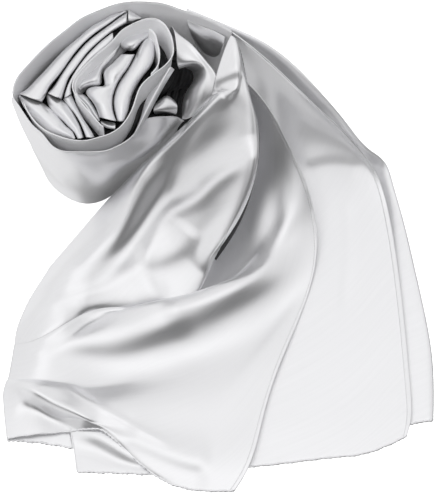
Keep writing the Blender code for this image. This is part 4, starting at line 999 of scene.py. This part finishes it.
def tucked_up(edge, above):
    """The cloth behind an edge that is tucked under another cloth: it climbs to the other's underside."""
    plan = above[:, :, :2].reshape(-1, 2)
    heights = above[:, :, 2].reshape(-1)
    top = edge + np.array([-TUCK_IN, 0.0, 0.0])
    for point in top:
        near = np.linalg.norm(plan - point[:2], axis=1).argmin()
        point[:2] = plan[near]
        point[2] = heights[near] - 2 * CLOTH
    top[1:-1] = (top[:-2] + top[1:-1] + top[2:]) / 3
    return np.array([edge * (1 - share) + top * share for share in np.linspace(0, 1, TUCK_ROWS)])


def build_roll():
    """The outer turn of the roll: its far side and its near side."""
    rim = even(place(WRAP_BACK_RIM), RIM_POINTS)
    foot = even(place(WRAP_BACK_FOOT), RIM_POINTS)
    middle = rim * FAR_WALL_MIDDLE + foot * (1 - FAR_WALL_MIDDLE)
    far = relief(surface([rim, middle, foot], *FAR_WALL_GRID), FAR_WALL_FOLDS)
    edge = rolled_hem("far_edge", far[0], FOLDED_EDGE, EDGE_PUCKER)
    wall = shell("wrap_far", far, faces="out", made_of=REVERSE)
    stand_in(wall, "wrap_back")
    lines = (WRAP_FRONT_RIM, WRAP_FRONT_BULGE, WRAP_FRONT_RECESS, WRAP_FRONT_LOW, WRAP_FRONT_FOOT)
    near = relief(surface([place(line) for line in lines], *NEAR_WALL_GRID), NEAR_WALL_FOLDS)
    edge = rolled_hem("near_edge", near[0], NEAR_EDGE, EDGE_PUCKER)
    wall = shell("wrap_near", near, faces="out")
    stand_in(wall, "wrap_front")
    return near, far


def build_panels():
    """The fan of laid layers, from the lowest up."""
    back = rows_along([back_section(row) for row in BACK_PANEL], BACK_STEPS)
    piece = shell("back", back, made_of=LAID)
    hem = rolled_hem("back_end", back[-1, :len(BACK_SHARES) + 1], THICK_ROLLED_HEM, lowest=OFF_TABLE)
    stand_in(piece, "back_panel")

    middle = relief(net_surface([place(row) for row in MIDDLE_PANEL], *MIDDLE_GRID), MIDDLE_FOLDS)
    made = hems_of("middle", middle)
    made.append(rolled_hem("middle_end", middle[-1], ROLLED_HEM, lowest=OFF_TABLE))
    stand_in(shell("middle", middle, made_of=LAID), "middle_panel")

    build_drape_and_front()

    under = net_surface([place(row) for row in UNDER_CORNER], *UNDER_GRID)
    made = [rolled_hem("under_end", under[-1], ROLLED_HEM, CORNER_PUCKER, lowest=OFF_TABLE)]
    stand_in(shell("under", under, made_of=LAID), "under_corner")
    flap = net_surface([place(row) for row in FLAP], *FLAP_GRID)
    made = [rolled_hem("flap_end", flap[-1], ROLLED_HEM, FLAP_PUCKER, lowest=OFF_TABLE)]
    made.append(rolled_hem("flap_side", flap[:, 0], THIN_EDGE, EDGE_PUCKER, lowest=OFF_TABLE))
    stand_in(shell("flap_cloth", flap), "flap")


def build_drape_and_front():
    """The cloth that falls from the roll, and the front cloth that runs on from it and is tucked under it."""
    rows = []
    for row, (over, on, drop) in zip(DRAPE, DRAPE_TURNED_UNDER):
        across, down, height = row[-1]
        rows.append(place([*row, (across + over, down + on, height - drop)]))
    drape = net_surface(rows, *DRAPE_GRID)
    seam = drape[-1]
    drape = relief(drape, DRAPE_FOLDS + FRONT_FOLDS)
    front = meet(net_surface([place(row) for row in FRONT_PANEL], *FRONT_GRID), seam)
    front = relief(front, DRAPE_FOLDS[:FOLDS_THAT_RUN_ON] + FRONT_FOLDS)
    # The drape's turned-in edge is painted shade: coloured near black, not darkened by the light alone.
    made = [shell("drape_turned_in", drape[:, -IN_THE_DARK:], made_of=PAINTED_SHADE)]
    piece = shell("drape_cloth", drape[:, :1 - IN_THE_DARK])
    stand_in(piece, "drape")
    tuck = tucked_up(front[0, TUCK_FROM:], drape[:, :-TURNED_COLUMNS])
    made = hems_of("front", front)
    made.append(shell("front_tuck", tuck))
    made.append(rolled_hem("front_end", front[-1], THICK_ROLLED_HEM, lowest=OFF_TABLE))
    stand_in(shell("front", front), "front_panel")


def build_band():
    """The hemmed band that is wound round the core, and the two short turns inside it."""
    rim = place(BAND_RIM)
    centre = seen(*BAND_CENTRE)
    foot = centre + (rim - centre) * BAND_LEAN
    foot[:, 2] = ON_CORE
    band = surface([rim, rim * 0.5 + foot * 0.5, foot], *BAND_GRID)
    edge = rolled_hem("band_edge", band[0], FOLDED_EDGE, BAND_PUCKER)
    facing = facing_out(band, "out")[3]
    seam = stitches("band_stitches", band[3] + facing * 0.0003, facing)
    piece = shell("band", band, faces="out", made_of=REVERSE)
    stand_in(piece, "wound_band")
    for name, points in (("second_turn", SECOND_TURN), ("second_turn_right", SECOND_TURN_RIGHT)):
        top = even(place(points), SECOND_TURN_POINTS)
        foot = top + (centre - top) * SECOND_TURN_LEAN
        foot[:, 2] = ON_CORE
        wall = surface([top, (top + foot) / 2, foot], *SECOND_TURN_GRID)
        edge = rolled_hem(name + "_edge", wall[0], THIN_EDGE, EDGE_PUCKER)
        piece = shell(name, wall, faces="out", made_of=REVERSE)
        stand_in(piece, None)


def build_folds(far):
    """The folds that stand in the roll, and those to the right of them."""
    for name, (node, edge, rise, square, one, other) in FOLDS.items():
        grid = inside_wall(rounded_fold(one, other, edge, rise, square), far)
        stand_in(shell("satin_" + name, grid), node)
    others = (
        ("turned_edge", TURNED_EDGE),
        ("fold_a", FOLD_A),
        ("fold_c", FOLD_C),
        ("pocket_fold", POCKET_FOLD),
    )
    for name, lines in others:
        grid = surface([place(line) for line in lines], *FOLD_GRID)
        stand_in(shell("satin_" + name, grid), name)


def at_height(grid, height, right_end):
    """The points where a wall passes a height, from its left end up to the right end."""
    points = []
    for column in np.swapaxes(grid, 0, 1):
        if column[-1, 0] > right_end:
            break
        points.append([np.interp(height, column[::-1, 2], column[::-1, k]) for k in range(3)])
    return np.array(points)


def rings_of(near, far, right_side, ends, profile):
    """The outlines of wound layers between the near wall and the far wall, one for each step of a profile."""
    rings = []
    for height, inset in profile:
        outline = np.vstack([
            at_height(near, height * MM, ends[0]),
            right_side,
            at_height(far, height * MM, ends[1])[::-1],
        ])
        centre = outline.mean(axis=0)
        towards = centre - outline
        towards[:, 2] = 0.0
        towards /= np.linalg.norm(towards, axis=1)[:, None]
        points = outline + towards * inset * MM
        points[:, 2] = height * MM
        rings.append(points)
    return rings


def wound_layers(name, node, rings):
    """One rounded body of wound layers: its top shows them as rings of narrow folds."""
    top = rings[-1]
    centre = top.mean(axis=0)
    for turn in range(1, CORE_RINGS):
        share = 1.0 - turn / CORE_RINGS
        ring = centre + (top - centre) * share
        wave = 0.5 - 0.5 * math.cos(turn * math.pi / 2)
        ring[:, 2] = top[0, 2] - RING_DEPTH * wave * min(1.0, share * 4)
        rings.append(ring)
    mesh = bmesh.new()
    layer = mesh.loops.layers.uv.new("cloth")
    verts = [[mesh.verts.new(point) for point in ring] for ring in rings]
    for low, high in zip(verts, verts[1:]):
        for k in range(len(low)):
            after = (k + 1) % len(low)
            mesh.faces.new((low[k], low[after], high[after], high[k]))
    mesh.faces.new(verts[0][::-1])
    mesh.faces.new(verts[-1])
    for face in mesh.faces:
        for loop in face.loops:
            loop[layer].uv = (loop.vert.co.x + loop.vert.co.y, loop.vert.co.z)
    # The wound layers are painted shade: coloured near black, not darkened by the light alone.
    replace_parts(finish(name, mesh, PAINTED_SHADE), node)


def build_wound_layers(near, far):
    """What lies wound inside the roll: the layers on the table, and the core on them."""
    right_side = even(place(LAYERS_RIGHT_SIDE), 6)
    ends = (LAYERS_NEAR_END, LAYERS_RIGHT_END)
    wound_layers("turns_below", "hidden_layers", rings_of(near, far, right_side, ends, LAYERS_PROFILE))
    band = place(BAND_RIM[CORE_BAND_POINTS])
    out = band - seen(*BAND_CENTRE)
    band += out / np.linalg.norm(out, axis=1)[:, None] * CORE_OUT_OF_BAND
    ends = (CORE_NEAR_END, CORE_FAR_END)
    wound_layers("turns_in_core", "core_layers", rings_of(near, far, band, ends, CORE_PROFILE))


def build_camera():
    data = bpy.data.cameras.new("camera")
    camera = bpy.data.objects.new("camera", data)
    bpy.context.scene.collection.objects.link(camera)
    camera.location = Vector(EYE)
    camera.rotation_euler = (math.pi / 2 - EYE_RISE, 0, 0)
    data.sensor_fit = "HORIZONTAL"
    data.sensor_width = SENSOR
    data.lens = SENSOR * EYE_DISTANCE / (VIEW_ACROSS * VIEW_POINT)
    bpy.context.scene.camera = camera


def along_scale(nodes, links, value, low, high, pairs):
    """The light that a table of pairs gives for a value on its scale."""
    share = nodes.new("ShaderNodeMapRange")
    share.inputs["From Min"].default_value = low
    share.inputs["From Max"].default_value = high
    links.new(value, share.inputs["Value"])
    ramp = nodes.new("ShaderNodeValToRGB")
    ramp.color_ramp.interpolation = "EASE"
    marks = ramp.color_ramp.elements
    while len(marks) > 1:
        marks.remove(marks[-1])
    for k, (at, light) in enumerate(sorted(((at - low) / (high - low), light) for at, light in pairs)):
        mark = marks[0] if k == 0 else marks.new(at)
        mark.position = at
        mark.color = (light, light, light, 1.0)
    links.new(share.outputs["Result"], ramp.inputs["Fac"])
    return ramp.outputs["Color"]


def multiplied(nodes, links, one, other):
    """One light times another."""
    product = nodes.new("ShaderNodeVectorMath")
    product.operation = "MULTIPLY"
    links.new(one, product.inputs[0])
    links.new(other, product.inputs[1])
    return product.outputs["Vector"]


def dark_side(nodes, links, where, turn, rise):
    """The light of a room that is dark round one direction, given in degrees."""
    turn, rise = math.radians(turn), math.radians(rise)
    dot = nodes.new("ShaderNodeVectorMath")
    dot.operation = "DOT_PRODUCT"
    dot.inputs[1].default_value = (
        math.cos(turn) * math.cos(rise), math.sin(turn) * math.cos(rise), math.sin(rise))
    links.new(where, dot.inputs[0])
    nearness = [(math.cos(math.radians(angle)), light) for angle, light in BY_ANGLE_TO_DARK_SIDE]
    return along_scale(nodes, links, dot.outputs["Value"], 0.5, 1.0, nearness)


def build_room():
    """The bright room round the stole, with its dark places."""
    world = bpy.data.worlds.new("studio")
    bpy.context.scene.world = world
    world.use_nodes = True
    nodes, links = world.node_tree.nodes, world.node_tree.links
    ground = nodes["Background"]
    where = nodes.new("ShaderNodeTexCoord").outputs["Generated"]
    parts = nodes.new("ShaderNodeSeparateXYZ")
    links.new(where, parts.inputs["Vector"])
    above = along_scale(nodes, links, parts.outputs["Z"], -1.0, 1.0, BY_HEIGHT)
    side = along_scale(nodes, links, parts.outputs["X"], -1.0, 1.0, BY_SIDE)
    above = multiplied(nodes, links, above, side)
    for turn, rise in DARK_SIDES:
        above = multiplied(nodes, links, above, dark_side(nodes, links, where, turn, rise))
    below = along_scale(nodes, links, parts.outputs["X"], -1.0, 1.0, BELOW_BY_SIDE)
    over = nodes.new("ShaderNodeMapRange")
    over.interpolation_type = "SMOOTHSTEP"
    over.inputs["From Min"].default_value = BELOW_ENDS
    over.inputs["From Max"].default_value = ABOVE_STARTS
    links.new(parts.outputs["Z"], over.inputs["Value"])
    whole = nodes.new("ShaderNodeMix")
    whole.data_type = "RGBA"
    links.new(over.outputs["Result"], whole.inputs["Factor"])
    links.new(below, whole.inputs["A"])
    links.new(above, whole.inputs["B"])
    links.new(whole.outputs["Result"], ground.inputs["Color"])


def build_lamps():
    for name, at, size, power in LAMPS:
        lamp = bpy.data.lights.new(name, "AREA")
        lamp.shape = "DISK"
        lamp.size = size
        lamp.energy = power
        stand = bpy.data.objects.new(name, lamp)
        bpy.context.scene.collection.objects.link(stand)
        stand.location = at
        stand.rotation_euler = (LAMPS_AIM - stand.location).to_track_quat("-Z", "Y").to_euler()
        stand.visible_glossy = False


def plain(name, colour, glow):
    """A plain, dull surface that glows a little."""
    made = bpy.data.materials.new(name)
    made.use_nodes = True
    nodes, links = made.node_tree.nodes, made.node_tree.links
    shader = nodes["Principled BSDF"]
    shader.inputs["Roughness"].default_value = 0.9
    shader.inputs["Emission Strength"].default_value = glow
    shader.inputs["Emission Color"].default_value = (*colour, 1.0)
    grain = nodes.new("ShaderNodeTexNoise")
    grain.inputs["Scale"].default_value = 3.0
    pale = tuple(c * 0.985 for c in colour)
    links.new(mix_colour(nodes, links, pale, colour, grain.outputs["Fac"]), shader.inputs["Base Color"])
    return made


def build_floor():
    """A pale floor. The satin neither mirrors it nor is lit by it."""
    mesh = bmesh.new()
    bmesh.ops.create_grid(mesh, x_segments=8, y_segments=8, size=FLOOR_REACH)
    data = bpy.data.meshes.new("floor")
    mesh.to_mesh(data)
    mesh.free()
    data.materials.append(plain("floor", FLOOR_COLOUR, FLOOR_GLOW))
    floor = bpy.data.objects.new("floor", data)
    floor.location.z = -FLOOR_DROP
    floor.visible_glossy = False
    floor.visible_diffuse = False
    bpy.context.scene.collection.objects.link(floor)


def main():
    scene = bpy.context.scene
    scene.view_settings.view_transform = "Standard"
    scene.view_settings.look = "None"
    near, far = build_roll()
    build_wound_layers(near, far)
    build_panels()
    build_band()
    build_folds(far)
    build_camera()
    build_room()
    build_lamps()
    build_floor()


main()
